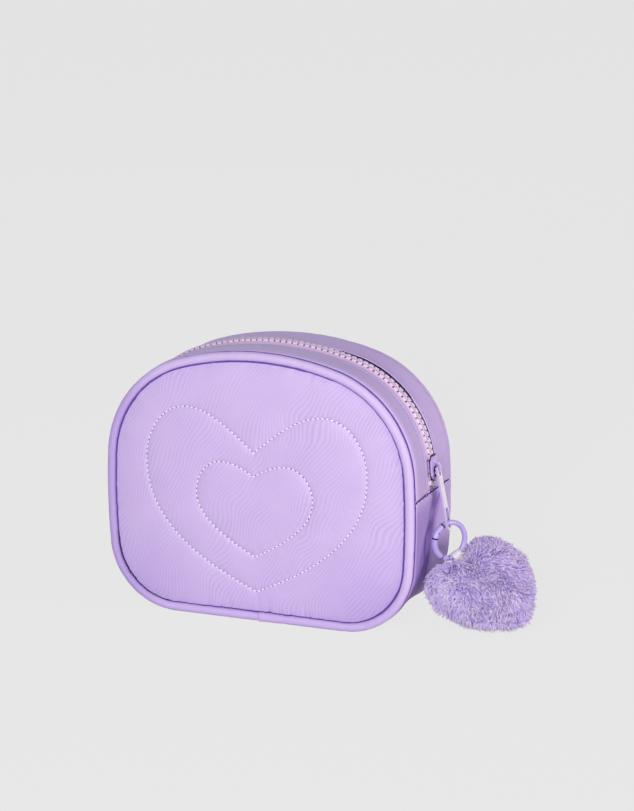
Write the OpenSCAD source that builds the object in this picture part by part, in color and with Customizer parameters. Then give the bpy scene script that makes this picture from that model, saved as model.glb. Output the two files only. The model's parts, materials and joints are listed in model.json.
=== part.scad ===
// Rounded cosmetic bag with a quilted heart front, a curved zip and a clip-on heart charm.
// Millimetres. +Z up, +X to the right seen from the front, front face towards -Y.
// The origin is the centre of the flat base, on the surface that the bag stands on.

/* [Body] */
// Width of the bag at its widest, over the piping
body_w = 176; // [150:1:210]
// Height of the bag over the piping
body_h = 146.5; // [130:0.5:175]
// Depth between the front and back seam planes
body_d = 59; // [48:1:80]
// Radius of the bottom corners
bottom_corner_r = 38.5; // [28:0.5:42]
// Radius of the slightly bowed sides
side_r = 400; // [300:10:700]
// Angle below level at which a side runs into its bottom corner
side_dip = 3.85; // [2:0.05:6]
// Angle above level at which a side runs into its top corner
side_rise = 3.3; // [2:0.05:6]
// Half of the angle that the crowned top spans
crown_angle = 16.9; // [12:0.1:20]

/* [Fabric] */
// Thickness of the outer satin with its backing
fabric_t = 1.2; // [0.8:0.1:1.6]
// Thickness of the lining
lining_t = 0.8; // [0.5:0.1:1.2]
// Gap between two layers
layer_gap = 0.2; // [0.15:0.05:0.3]
// Depth of the fold in each side gusset
dent_depth = 6; // [2:0.5:9]
// Height of the middle of that fold
dent_z = 42; // [38:1:48]
// Half of the fold's height
dent_half_h = 30; // [20:1:32]

/* [Piping] */
// Outer diameter of the piping round both seams
piping_d = 4.9; // [4:0.1:6]
// Diameter of the cord inside the piping
piping_core_d = 3; // [2:0.1:3.4]

/* [Quilted panels] */
// How far the front panel bulges in front of its seam
front_crown = 6; // [3:0.5:10]
// How far the back panel bulges behind its seam
back_crown = 5; // [3:0.5:8]
// Thickness of the padding at the panel's edge
padding_edge_t = 2; // [1.5:0.1:3]
// Depth of the sewn channels
channel_depth = 1.2; // [0.6:0.1:1.6]
// Half of the width over which a channel pulls the padding in
channel_half_w = 2.4; // [1.5:0.1:3]
// Width of the outer sewn heart
outer_heart_w = 126; // [100:1:130]
// Height of the outer sewn heart
outer_heart_h = 98; // [80:1:104]
// Height of the outer heart's tip above the base
outer_heart_z = 17; // [14:0.5:20]
// Width of the inner sewn heart
inner_heart_w = 66.5; // [50:0.5:76]
// Height of the inner sewn heart
inner_heart_h = 50.6; // [40:0.2:56]
// Height of the inner heart's tip above the base
inner_heart_z = 36.6; // [34:0.2:42]

/* [Zip] */
// Width between the two folded fabric edges beside the teeth
zip_opening = 10.8; // [10.4:0.1:14]
// Pitch of the teeth in one row
tooth_pitch = 3.4; // [3.2:0.1:4]
// Length of a tooth across the chain, from its heel to the chain's middle
tooth_reach = 3; // [2.6:0.1:3.2]
// Height of a tooth, square to the tape
tooth_h = 3; // [2.4:0.1:3.4]
// Thickness of the zip tape
tape_t = 0.8; // [0.5:0.05:0.9]
// Width of one zip tape
tape_w = 13; // [11:0.5:15]
// Length of chain between the slider at rest and the side seam
zip_tail = 12.8; // [9.5:0.1:14]

/* [Slider] */
// Length of the slider along the chain
slider_l = 12; // [10:0.2:13]
// Width of the slider across the chain
slider_w = 10; // [9:0.1:10.2]
// Thickness of the slider's top and bottom plates
slider_plate_t = 1.5; // [1.1:0.1:1.8]
// Outer radius of the slider's arched bridge
bridge_r = 3.7; // [3.3:0.1:3.9]
// Thickness of the bridge across the chain
bridge_t = 2; // [1.6:0.1:2.2]
// Height of the pull's cross bar above the outline
pivot_h = 2.9; // [2.8:0.05:3]

/* [Pull] */
// Length of the pull from its cross bar to its end
pull_l = 35.7; // [32:0.2:40]
// Width of the pull
pull_w = 8.2; // [7.6:0.1:9]
// Thickness of the pull
pull_t = 1.2; // [1:0.05:1.3]
// Diameter of the pull's cross bar
bar_d = 1.4; // [1.2:0.05:1.5]
// Width of the upper window, through which the bridge passes
window_w = 4; // [3.8:0.1:4.2]
// Length of the upper window beyond the cross bar
window_l = 4; // [3.8:0.1:5]
// Width of the slot that holds the ring
slot_w = 6; // [5.9:0.05:6.1]
// Length of the slot that holds the ring
slot_l = 11; // [8:0.5:14]
// Material left below the slot
pull_end_l = 2.5; // [2.4:0.05:5]
// Angle at which the pull hangs away from the vertical
pull_hang = 10.5; // [8:0.5:14]
// Angle at which the pull sits askew on its bridge
pull_yaw = 8; // [6:0.5:9]

/* [Clip ring] */
// Radius of the ring at the middle of its wire
ring_r = 9.65; // [9.5:0.05:10.4]
// Diameter of the ring's wire
wire_d = 2.8; // [2.6:0.1:3]
// Diameter of the gate, and of the barrel that receives it
barrel_d = 3.2; // [3:0.1:3.4]
// Direction of the ring's plane, from the X axis
ring_yaw = 54; // [50:1:58]
// How far the ring's centre lies beyond the pull, along the ring's plane
ring_shift = 1.1; // [0.6:0.1:1.6]
// Angle on the ring of the gate's rivet
rivet_angle = 250; // [245:1:255]
// Angle on the ring of the gate's free end
gate_free_angle = 166; // [162:1:170]
// Angle on the ring where the thicker barrel ends
barrel_angle = 118; // [116:1:124]
// Diameter of the gate's rivet
rivet_d = 1; // [0.8:0.1:1.1]

/* [Charm] */
// Width of the stuffed heart, without its pile
charm_w = 56; // [48:1:58]
// Height of the stuffed heart, without its pile
charm_h = 52; // [44:1:54]
// Thickness of the stuffed heart, without its pile
charm_t = 20; // [18:1:24]
// Thickness of the pile fabric's backing
pile_base_t = 1.4; // [1:0.1:2]
// Direction that the heart's plane runs in, from the X axis
charm_yaw = 29; // [24:1:34]
// Angle at which the heart leans back
charm_lean = 57; // [50:1:62]
// Angle at which the heart's tip swings to the right
charm_roll = 37; // [32:1:42]
// Width of the satin ribbon
ribbon_w = 5.6; // [4:0.2:7]
// Thickness of the satin ribbon
ribbon_t = 0.5; // [0.4:0.05:0.7]
// Angle on the ring where the ribbon hangs
ribbon_angle = -66; // [-70:1:-60]
// Length of the ribbon from the ring's wire to the heart
ribbon_l = 6.8; // [6:0.1:8]
// Angle at which the ribbon leans out of the ring's plane
ribbon_tilt = 16; // [10:1:24]

/* [Hidden] */

$fn = 48;
// Overrun of every cut past the face that it opens
cut = 1;
// Running clearance between hard parts that move on each other
clearance = 0.3;
// Radial clearance of the gate on its rivet
rivet_clearance = 0.05;

// Colours
satin = [0.72, 0.63, 0.86];
satin_deep = [0.64, 0.56, 0.76];
cord_white = [0.93, 0.92, 0.93];
foam_grey = [0.86, 0.85, 0.88];
lining_lilac = [0.78, 0.72, 0.86];
tape_pink = [0.87, 0.78, 0.88];
tooth_pink = [0.93, 0.85, 0.92];
enamel = [0.66, 0.60, 0.82];
steel = [0.75, 0.75, 0.78];
pile_violet = [0.62, 0.52, 0.82];
ribbon_cream = [0.94, 0.92, 0.90];

// Outline of the bag, as four arcs on each side of the middle.
// The radius of the top corner follows from the height that the arcs have to reach.
half_crown_tan = tan(crown_angle / 2);
top_corner_r = (body_h - bottom_corner_r + (side_r - bottom_corner_r) * -sin(side_dip)
        - side_r * sin(side_rise) - half_crown_tan * (body_w / 2 - side_r * (1 - cos(side_rise))))
    / (1 - sin(side_rise) - half_crown_tan * cos(side_rise));
side_c = [body_w / 2 - side_r, bottom_corner_r + (side_r - bottom_corner_r) * sin(side_dip)];
bottom_c = side_c + (side_r - bottom_corner_r) * unit_at(-side_dip);
corner_c = side_c + (side_r - top_corner_r) * unit_at(side_rise);
crown_r = top_corner_r + corner_c[0] / sin(crown_angle);
crown_c = [0, corner_c[1] + (top_corner_r - crown_r) * cos(crown_angle)];

// Lengths along the outline from the middle of the top to the end of each arc, and to the middle of the base
crown_end = arc_length(crown_r, crown_angle);
corner_end = crown_end + arc_length(top_corner_r, 90 - crown_angle - side_rise);
side_end = corner_end + arc_length(side_r, side_rise + side_dip);
bottom_end = side_end + arc_length(bottom_corner_r, 90 - side_dip);
half_loop = bottom_end + bottom_c[0];

// Steps along the outline: coarse for soft rolls and sheets, fine for what the slider runs along
soft_step_a = 9;
soft_step_l = 12;
fine_step_a = 3;
fine_step_l = 4;
// Closest that two points along the outline may come
step_gap = 0.4;

slider_s = corner_end;
seam_s = slider_s + zip_tail;
seam_y = body_d / 2;
gusset_y = seam_y - piping_d / 2;

// Insets of the layers below the outline
tape_in = fabric_t + layer_gap;
tape_mid = tape_in + tape_t / 2;
facing_in = tape_in + tape_t + layer_gap;
gusset_lining_in = fabric_t + layer_gap;
binding_in = max(facing_in, gusset_lining_in) + lining_t + layer_gap;
panel_in = piping_d + layer_gap;
binding_w = 2;

function unit_at(a) = [cos(a), sin(a)];
function arc_length(r, a) = r * a * PI / 180;
function arc_angle(r, l) = l / r * 180 / PI;
function reverse(list) = [for (i = [len(list) - 1:-1:0]) list[i]];

// Folds a length along the loop back into the right half, and says which half it was in
function folded(s) = s > half_loop ? 2 * half_loop - s : abs(s);
function side_of(s) = (s > half_loop || s < 0) ? -1 : 1;

// Angle of the outward normal at a length s of the right half
function normal_angle(s) =
    s <= crown_end ? 90 - arc_angle(crown_r, s)
    : s <= corner_end ? 90 - crown_angle - arc_angle(top_corner_r, s - crown_end)
    : s <= side_end ? side_rise - arc_angle(side_r, s - corner_end)
    : s <= bottom_end ? -side_dip - arc_angle(bottom_corner_r, s - side_end)
    : -90;

// Point of the right half at a length s, an inset d below the outline
function half_point(s, d) =
    let (a = normal_angle(s))
    s <= crown_end ? crown_c + (crown_r - d) * unit_at(a)
    : s <= corner_end ? corner_c + (top_corner_r - d) * unit_at(a)
    : s <= side_end ? side_c + (side_r - d) * unit_at(a)
    : s <= bottom_end ? bottom_c + (bottom_corner_r - d) * unit_at(a)
    : [half_loop - s, d];

function path(s, d) =
    let (p = half_point(folded(s), d))
    [side_of(s) * p[0], p[1]];

function spread(s0, s1, n) = [for (i = [0:n - 1]) s0 + (s1 - s0) * i / n];
function steps(l, a, step_l, step_a) = max(ceil(l / step_l), ceil(a / step_a), 1);

// Lengths at which the right half is sampled, from the middle of the top to the middle of the base
function half_marks(step_l, step_a) = concat(
    spread(0, crown_end, steps(crown_end, crown_angle, step_l, step_a)),
    spread(crown_end, corner_end,
        steps(corner_end - crown_end, 90 - crown_angle - side_rise, step_l, step_a)),
    spread(corner_end, side_end, steps(side_end - corner_end, side_rise + side_dip, step_l, step_a)),
    spread(side_end, bottom_end, steps(bottom_end - side_end, 90 - side_dip, step_l, step_a)),
    spread(bottom_end, half_loop, steps(half_loop - bottom_end, 0, step_l, step_a)));

// The same for the whole loop, once round, and for any stretch between two lengths
function loop_marks(step_l, step_a) =
    let (marks = half_marks(step_l, step_a))
    concat(marks, [half_loop], [for (m = reverse(marks)) if (m > 0) 2 * half_loop - m]);
function stretch(s0, s1, step_l, step_a) =
    let (marks = half_marks(step_l, step_a))
    concat([s0],
        [for (m = reverse(marks)) if (m > 0 && -m > s0 + step_gap && -m < s1 - step_gap) -m],
        [for (m = marks) if (m > s0 + step_gap && m < s1 - step_gap) m],
        [for (m = concat([half_loop], reverse(marks)))
            if (2 * half_loop - m > s0 + step_gap && 2 * half_loop - m < s1 - step_gap)
                2 * half_loop - m],
        [s1]);

loop = loop_marks(soft_step_l, soft_step_a);
base_stretch = stretch(seam_s + layer_gap / 2, 2 * half_loop - seam_s - layer_gap / 2,
    soft_step_l, soft_step_a);
zip_stretch = stretch(-seam_s + layer_gap / 2, seam_s - layer_gap / 2, fine_step_l, fine_step_a);
loop_outline = [for (s = loop) path(s, panel_in)];

// Closed surface lofted through rings of points, its ends closed by fans round their centres
function ring_centre(ring) = [for (k = [0:2]) [for (p = ring) p[k]] * [for (p = ring) 1] / len(ring)];
// From point "turn" of each ring on, the quads are split along their other diagonal
module loft(rings, turn = undef) {
    n = len(rings[0]);
    split = is_undef(turn) ? n : turn;
    last = len(rings) - 1;
    points = concat([for (ring = rings) each ring], [ring_centre(rings[0]), ring_centre(rings[last])]);
    start = n * len(rings);
    faces = concat(
        [for (i = [0:last - 1], j = [0:n - 1])
            let (a = i * n + j, b = i * n + (j + 1) % n)
            each j < split ? [[a, b, b + n], [a, b + n, a + n]] : [[a, b, a + n], [b, b + n, a + n]]],
        [for (j = [0:n - 1]) [start, (j + 1) % n, j]],
        [for (j = [0:n - 1]) [start + 1, last * n + j, last * n + (j + 1) % n]]);
    polyhedron(points, faces);
}

// Closed surface through sections that run once round and join up again
module closed_loft(sections) {
    n = len(sections[0]);
    m = len(sections);
    polyhedron([for (section = sections) each section],
        [for (i = [0:m - 1], j = [0:n - 1])
            let (a = i * n + j, b = i * n + (j + 1) % n, c = (i + 1) % m * n + j,
                d = (i + 1) % m * n + (j + 1) % n)
            each [[a, b, d], [a, d, c]]]);
}

// Flat shape in the XZ plane given a depth from y0 to y1
module deep(y0, y1) {
    translate([0, y1, 0]) rotate([90, 0, 0]) linear_extrude(y1 - y0) children();
}

// Band between two insets below the outline, over a list of lengths
module band(lengths, d0, d1) {
    polygon(concat([for (s = lengths) path(s, d0)], [for (s = reverse(lengths)) path(s, d1)]));
}

// Puts a child on the outline: local X outwards, local Z along the outline towards the top
module on_outline(s, d) {
    p = path(s, d);
    a = side_of(s) > 0 ? normal_angle(folded(s)) : 180 - normal_angle(folded(s));
    translate([p[0], 0, p[1]]) rotate([0, -a, 0]) children();
}

// Sewn hearts of the front panel. Points are shares of the half width and of the height.
outer_heart_shares = [[0, 0.78], [0.2, 0.887], [0.4, 1], [0.62, 1], [0.844, 1], [1, 0.85],
    [1, 0.688], [1, 0.387], [0.635, 0.183], [0, 0]];
inner_heart_shares = [[0, 0.873], [0.174, 0.931], [0.316, 1], [0.554, 1], [0.807, 1], [1, 0.838],
    [1, 0.661], [1, 0.38], [0.538, 0.193], [0, 0]];
charm_shares = [[0, 0.81], [0.1, 0.9], [0.26, 1], [0.54, 1], [0.8, 1], [1, 0.83],
    [1, 0.67], [1, 0.302], [0.15, 0], [0, 0]];
curve_steps = 8;

function bezier(p, t) = pow(1 - t, 3) * p[0] + 3 * pow(1 - t, 2) * t * p[1]
    + 3 * (1 - t) * t * t * p[2] + pow(t, 3) * p[3];
// Right half of a heart, from its cleft to just before its tip
function half_heart(shares, w, h) = [for (k = [0:3:6], i = [0:curve_steps - 1])
    let (p = bezier([for (j = [0:3]) shares[k + j]], i / curve_steps))
    [p[0] * w / 2, p[1] * h]];
function heart(shares, w, h) =
    let (half = half_heart(shares, w, h))
    concat(half, [[0, 0]], [for (p = reverse(half)) if (p[0] > 0) [-p[0], p[1]]]);
function lifted(points, z) = [for (p = points) p + [0, z]];

// Distance from the quilting's centre to a closed curve, along one direction
function edge_reach(p, q, dir) =
    let (e = q - p, den = cross(dir, e))
    den == 0 ? 0
    : let (t = cross(p, e) / den, u = cross(p, dir) / den)
        (t > 0 && u >= 0 && u <= 1) ? t : 0;
function reach(curve, centre, a) =
    max([for (i = [0:len(curve) - 1])
        edge_reach(curve[i] - centre, curve[(i + 1) % len(curve)] - centre, unit_at(a))]);

// Panels: rays run from this centre through the hearts to the seam
quilt_centre_share = 0.55;
quilt_centre = [0, inner_heart_z + quilt_centre_share * inner_heart_h];
quilt_rays = 54;
ray_angles = [for (i = [0:quilt_rays - 1]) 90 - 360 * i / quilt_rays];
outer_heart = lifted(heart(outer_heart_shares, outer_heart_w, outer_heart_h), outer_heart_z);
inner_heart = lifted(heart(inner_heart_shares, inner_heart_w, inner_heart_h), inner_heart_z);
// One row for each ray: reach of the inner heart, the outer heart and the seam
quilt_table = [for (a = ray_angles)
    [a, reach(inner_heart, quilt_centre, a), reach(outer_heart, quilt_centre, a),
        reach(loop_outline, quilt_centre, a)]];
crown_power = 4;

// One entry for each ring: its distance along a ray, and the depth of the channel there.
// The fields between the channels get a ring at these shares of their reach.
field_share = 0.4;
plain_field_shares = [0.3, 0.6, 0.8];
function quilt_stops(row) =
    let (h1 = row[1], h2 = row[2], e = row[3], w = channel_half_w)
    [[field_share * h1, 0], [h1 - w, 0], [h1, channel_depth], [h1 + w, 0], [(h1 + h2) / 2, 0], [h2 - w, 0],
        [h2, channel_depth], [h2 + w, 0], [field_share * (h2 + w) + (1 - field_share) * (e - w), 0],
        [e - w, 0], [e, 0]];
function plain_stops(row) =
    let (e = row[3])
    concat([for (share = plain_field_shares) [share * e, 0]], [[e - 2 * channel_half_w, 0], [e, 0]]);
function stops(row, quilted) = quilted ? quilt_stops(row) : plain_stops(row);

// Ring k of a panel's surface, a distance "under" below its face
function panel_ring(k, quilted, crown, under) = [for (row = quilt_table)
    let (stop = stops(row, quilted)[k], r = stop[0], bulge = crown * (1 - pow(r / row[3], crown_power)))
    [quilt_centre[0] + r * cos(row[0]), -(seam_y + bulge - stop[1] - under),
        quilt_centre[1] + r * sin(row[0])]];
function flat_ring(depth, inset) = [for (row = quilt_table)
    [quilt_centre[0] + (row[3] - inset) * cos(row[0]), -seam_y + depth,
        quilt_centre[1] + (row[3] - inset) * sin(row[0])]];

padding_under = fabric_t + layer_gap;
panel_back = padding_under + padding_edge_t;
lining_front = panel_back + layer_gap;

module panel_shell(quilted, crown) {
    last = len(stops(quilt_table[0], quilted)) - 1;
    loft(concat(
        [for (k = [0:last]) panel_ring(k, quilted, crown, 0)],
        [for (k = [last:-1:0]) panel_ring(k, quilted, crown, fabric_t)]));
}

module panel_padding(quilted, crown) {
    last = len(stops(quilt_table[0], quilted)) - 1;
    loft(concat(
        [for (k = [0:last]) panel_ring(k, quilted, crown, padding_under)],
        [flat_ring(panel_back, 0)]));
}

module panel_lining() {
    deep(-seam_y + lining_front, -seam_y + lining_front + lining_t)
        polygon([for (s = loop) path(s, panel_in)]);
}

// The back panel is the front one seen from behind
module behind() {
    mirror([0, 1, 0]) children();
}

module front_panel() {
    color(satin) panel_shell(true, front_crown);
}

module front_padding() {
    color(foam_grey) panel_padding(true, front_crown);
}

module front_lining() {
    color(lining_lilac) panel_lining();
}

module back_panel() {
    color(satin_deep) behind() panel_shell(false, back_crown);
}

module back_padding() {
    color(foam_grey) behind() panel_padding(false, back_crown);
}

module back_lining() {
    color(lining_lilac) behind() panel_lining();
}

// Piping: a fabric roll round a cord, all the way round the front seam
piping_sides = 8;
cord_sides = 6;
function roll_section(s, r, sides) = [for (i = [0:sides - 1])
    let (a = 360 * i / sides, p = path(s, piping_d / 2 - r * cos(a)))
    [p[0], -seam_y + r * sin(a), p[1]]];

module roll() {
    skin_in = piping_core_d / 2 + layer_gap / 2;
    difference() {
        closed_loft([for (s = loop) roll_section(s, piping_d / 2, piping_sides)]);
        closed_loft([for (s = loop) roll_section(s, skin_in, cord_sides)]);
    }
}

module roll_cord() {
    closed_loft([for (s = loop) roll_section(s, piping_core_d / 2, cord_sides)]);
}

module front_piping() {
    color(satin) roll();
}

module front_piping_cord() {
    color(cord_white) roll_cord();
}

module back_piping() {
    color(satin) behind() roll();
}

module back_piping_cord() {
    color(cord_white) behind() roll_cord();
}

// Tape sewn over the raw edges of each seam, inside the bag
module binding() {
    deep(-gusset_y + layer_gap, -gusset_y + layer_gap + binding_w) difference() {
        polygon([for (s = loop) path(s, binding_in)]);
        polygon([for (s = loop) path(s, panel_in - layer_gap)]);
    }
}

module seam_binding_front() {
    color(lining_lilac) binding();
}

module seam_binding_rear() {
    color(lining_lilac) behind() binding();
}

// Lower gusset: one strip from side seam to side seam, pulled in by a fold on each side
gusset_column_shares = [-1, -0.86, -0.6, -0.3, 0, 0.3, 0.6, 0.86, 1];
function bump(u) = abs(u) < 1 ? pow(1 - u * u, 2) : 0;
function dent(s, y) = dent_depth * bump((path(s, 0)[1] - dent_z) / dent_half_h) * bump(y / gusset_y)
    * (folded(s) < bottom_end ? 1 : 0);
function gusset_section(s, under, t, half_w) = concat(
    [for (c = gusset_column_shares)
        let (y = c * half_w, p = path(s, under + dent(s, y)))
        [p[0], y, p[1]]],
    [for (c = reverse(gusset_column_shares))
        let (y = c * half_w, p = path(s, under + t + dent(s, y)))
        [p[0], y, p[1]]]);

module gusset_sheet(under, t, half_w) {
    loft([for (s = base_stretch) gusset_section(s, under, t, half_w)], len(gusset_column_shares));
}

module base_gusset() {
    color(satin_deep) gusset_sheet(0, fabric_t, gusset_y);
}

module gusset_lining() {
    color(lining_lilac) gusset_sheet(gusset_lining_in, lining_t, gusset_y);
}

// Zip strips: the fabric on each side of the zip, with its folded edge beside the teeth
module strip() {
    deep(-gusset_y, -zip_opening / 2) band(zip_stretch, 0, fabric_t);
}

module facing() {
    deep(-gusset_y, -zip_opening / 2 - lining_t) band(zip_stretch, facing_in, facing_in + lining_t);
}

module zip_strip_front() {
    color(satin_deep) strip();
}

module zip_strip_rear() {
    color(satin_deep) behind() strip();
}

module zip_facing_front() {
    color(lining_lilac) facing();
}

module zip_facing_rear() {
    color(lining_lilac) behind() facing();
}

// Teeth: each grips the beaded edge of its tape, and its head meshes with the other row
tooth_body_w = 1.9;
tooth_head_w = 1.5;
tooth_head_over = 0.9;
tooth_head_start = 1.2;
tape_grip = 0.6;
tape_fit = 0.1;
tape_edge = tooth_reach - tape_grip;
grip_depth = tape_grip + layer_gap;
// Where the slider's post parts the rows, each is pushed this far from the middle
post_w = 1.2;
parted = post_w / 2 + tooth_head_over + clearance;
end_gap = 3;
teeth_in_row = floor(2 * (seam_s - end_gap) / tooth_pitch);
tooth_start = -(2 * teeth_in_row - 1) * tooth_pitch / 4;
parting_l = slider_l / 10;
function parting(s) = parted * min(1, max(0, (s - slider_s) / parting_l));

module tooth() {
    difference() {
        union() {
            translate([-tooth_h / 2, -tooth_reach, -tooth_body_w / 2])
                cube([tooth_h, tooth_reach - tooth_head_start, tooth_body_w]);
            translate([-tooth_h / 2, -tooth_head_start - layer_gap, -tooth_head_w / 2])
                cube([tooth_h, tooth_head_start + layer_gap + tooth_head_over, tooth_head_w]);
        }
        translate([-tape_t / 2 - tape_fit, -tooth_reach - cut, -tooth_body_w / 2 - cut])
            cube([tape_t + 2 * tape_fit, cut + grip_depth, tooth_body_w + 2 * cut]);
    }
}

module tooth_row(shift) {
    for (i = [0:teeth_in_row - 1]) {
        s = tooth_start + i * tooth_pitch + shift;
        on_outline(s, tape_mid) translate([0, -parting(s), 0]) tooth();
    }
}

// Tape, drawn back from the middle where the rows are parted below the slider
module tape() {
    difference() {
        deep(-tape_edge - tape_w, -tape_edge) band(zip_stretch, tape_in, tape_in + tape_t);
        on_outline(slider_s, tape_mid)
            translate([-cut - tooth_h, -tape_edge - parted, -slider_l - zip_tail])
                cube([2 * (cut + tooth_h), 2 * (tape_edge + parted),
                    slider_l + zip_tail + tooth_body_w / 2]);
    }
}

module zip_tape_front() {
    color(tape_pink) tape();
}

module zip_tape_rear() {
    color(tape_pink) behind() tape();
}

module zip_teeth_front() {
    color(tooth_pink) tooth_row(0);
}

module zip_teeth_rear() {
    color(tooth_pink) behind() tooth_row(tooth_pitch / 2);
}

// Stops: a block clamped on each tape at both ends of the chain
stop_l = 1.8;
stop_w = 1;
stop_t = 0.6;
module stop_pair(s, spread_y) {
    for (side = [-1, 1], face = [-1, 1])
        on_outline(s, tape_mid)
            translate([face * (tape_t / 2 + tape_fit + stop_t / 2), side * (spread_y + stop_w / 2), 0])
                cube([stop_t, stop_w, stop_l], center = true);
}

module zip_stops() {
    color(tooth_pink) {
        stop_pair(seam_s - end_gap / 2, tape_edge + parted + tape_fit);
        stop_pair(-(seam_s - end_gap / 2), tape_edge + tape_fit);
    }
}

// Slider: two plates joined by a post, with flanges round the chain and an arched bridge on top
plate_low = tooth_h / 2 + clearance - tape_mid;
flange_low = tape_t / 2 + clearance - tape_mid;
flange_start = slider_l / 20;
bottom_plate_top = -tape_mid - tooth_h / 2 - 2 * clearance;
flange_t = 0.7;
slider_chamfer = 2.2;
bridge_wall = 1.2;
bridge_hole_r = bridge_r - bridge_wall;
module plate_outline() {
    w = slider_w / 2;
    l = slider_l / 2;
    c = slider_chamfer;
    polygon([[-w, -l + c], [-w + c, -l], [w - c, -l], [w, -l + c],
        [w, l - c], [w - c, l], [-w + c, l], [-w, l - c]]);
}

// Plate of the slider between two heights above the outline
module plate(x0, x1) {
    translate([x0, 0, 0]) rotate([90, 0, 90]) linear_extrude(x1 - x0) plate_outline();
}

module flanges(x0, x1) {
    for (side = [-1, 1])
        translate([x0, side > 0 ? slider_w / 2 - flange_t : -slider_w / 2, flange_start])
            cube([x1 - x0, flange_t, slider_l / 2 - slider_chamfer - flange_start]);
}

module bridge() {
    plate_top = plate_low + slider_plate_t;
    translate([0, bridge_t / 2, 0]) rotate([90, 0, 0]) linear_extrude(bridge_t) difference() {
        translate([plate_top - layer_gap, 0]) circle(r = bridge_r);
        translate([plate_top, 0]) circle(r = bridge_hole_r);
        translate([plate_top - layer_gap - bridge_r - cut, -bridge_r - cut])
            square([bridge_r + cut, 2 * (bridge_r + cut)]);
    }
}

module slider_solid() {
    union() {
        plate(plate_low, plate_low + slider_plate_t);
        flanges(flange_low, plate_low + layer_gap);
        plate(bottom_plate_top - slider_plate_t, bottom_plate_top);
        translate([bottom_plate_top - layer_gap, -post_w / 2, -slider_l / 2 + slider_chamfer / 2])
            cube([plate_low - bottom_plate_top + 2 * layer_gap, post_w, slider_l / 4]);
        bridge();
    }
}

module zip_slider() {
    color(enamel) on_outline(slider_s, 0) slider_solid();
}

// Pull: hangs from its cross bar under the bridge, with a slot for the ring
pivot = let (p = path(slider_s, -pivot_h)) [p[0], 0, p[1]];
slot_end = pull_l - pull_end_l;
// The wire crosses the slot at a slant, so it rests above the slot's rounded end
hook_gap = 1.15;
hook_l = slot_end - wire_d / 2 - hook_gap;
module at_pull() {
    translate(pivot) rotate([0, 0, pull_yaw]) rotate([0, -pull_hang, 0]) children();
}

// Outline of the pull in its own plane, its length running down from the cross bar
module pull_outline() {
    r = pull_w / 2;
    difference() {
        union() {
            translate([-r, -pull_l + r]) square([pull_w, pull_l - r]);
            translate([0, -pull_l + r]) circle(r = r);
        }
        translate([-window_w / 2, -bar_d / 2 - window_l]) square([window_w, window_l + bar_d + cut]);
        translate([-slot_w / 2, -slot_end + slot_w / 2]) square([slot_w, slot_l - slot_w]);
        translate([0, -slot_end + slot_w / 2]) circle(d = slot_w);
        translate([0, -slot_end + slot_l - slot_w / 2]) circle(d = slot_w);
    }
}

module pull_tab() {
    color(enamel) at_pull() union() {
        translate([-pull_t / 2, 0, 0]) rotate([90, 0, 90]) linear_extrude(pull_t) pull_outline();
        translate([0, pull_w / 2, 0]) rotate([90, 0, 0]) cylinder(h = pull_w, d = bar_d);
    }
}

// Ring: an open wire loop that hangs in the pull's slot, closed by a sprung gate
hook = pivot + hook_l * [sin(pull_hang) * cos(pull_yaw), sin(pull_hang) * sin(pull_yaw), -cos(pull_hang)];
ring_dir = [cos(ring_yaw), sin(ring_yaw), 0];
ring_c = hook + ring_shift * ring_dir - [0, 0, sqrt(ring_r * ring_r - ring_shift * ring_shift)];
eye_d = barrel_d;
tongue_t = 1;
// Neck between the gate and its eye
neck_d = tongue_t - layer_gap;
eye_gap = eye_d / 2 + clearance;
eye_gap_a = arc_angle(ring_r, eye_gap);
socket_gap_a = arc_angle(ring_r, layer_gap);
module at_ring() {
    translate(ring_c) rotate([0, 0, ring_yaw]) rotate([90, 0, 0]) children();
}

// Piece of the ring's wire from angle a0 to a1
module wire(a0, a1, d) {
    rotate([0, 0, a0]) rotate_extrude(angle = a1 - a0) translate([ring_r, 0]) circle(d = d);
}

module at_rivet() {
    translate(ring_r * [cos(rivet_angle), sin(rivet_angle), 0]) children();
}

// The gate's free end and its seat in the barrel are cut on one cylinder round the rivet,
// so that the end swings clear
gate_reach = 2 * ring_r * sin((rivet_angle - gate_free_angle) / 2);
cut_span_a = arc_angle(ring_r, barrel_d);
module clip_ring() {
    color(enamel) at_ring() difference() {
        union() {
            wire(rivet_angle, 360 + barrel_angle, wire_d);
            difference() {
                wire(barrel_angle, gate_free_angle + cut_span_a, barrel_d);
                at_rivet() cylinder(h = barrel_d + 2 * cut, r = gate_reach + layer_gap / 2, center = true);
            }
            at_rivet() cylinder(h = eye_d, d = eye_d, center = true);
        }
        at_rivet() cylinder(h = eye_d + 2 * cut, d = rivet_d + 2 * rivet_clearance, center = true);
        at_rivet() translate([0, 0, -tongue_t / 2 - rivet_clearance])
            cylinder(h = tongue_t + 2 * rivet_clearance, r = eye_d / 2 + clearance);
    }
}

module ring_gate() {
    color(enamel) at_ring() difference() {
        union() {
            intersection() {
                wire(gate_free_angle - cut_span_a, rivet_angle - eye_gap_a, barrel_d);
                at_rivet() cylinder(h = barrel_d + 2 * cut, r = gate_reach - layer_gap / 2, center = true);
            }
            wire(rivet_angle - 3 * eye_gap_a / 2, rivet_angle, neck_d);
            at_rivet() cylinder(h = tongue_t, d = eye_d - clearance, center = true);
        }
        at_rivet() cylinder(h = eye_d, d = rivet_d + 2 * rivet_clearance, center = true);
        wire(spring_a0 - socket_gap_a, spring_a1 + socket_gap_a, spring_d + layer_gap);
    }
}

module gate_pin() {
    color(steel) at_ring() at_rivet() cylinder(h = eye_d, d = rivet_d, center = true);
}

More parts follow.
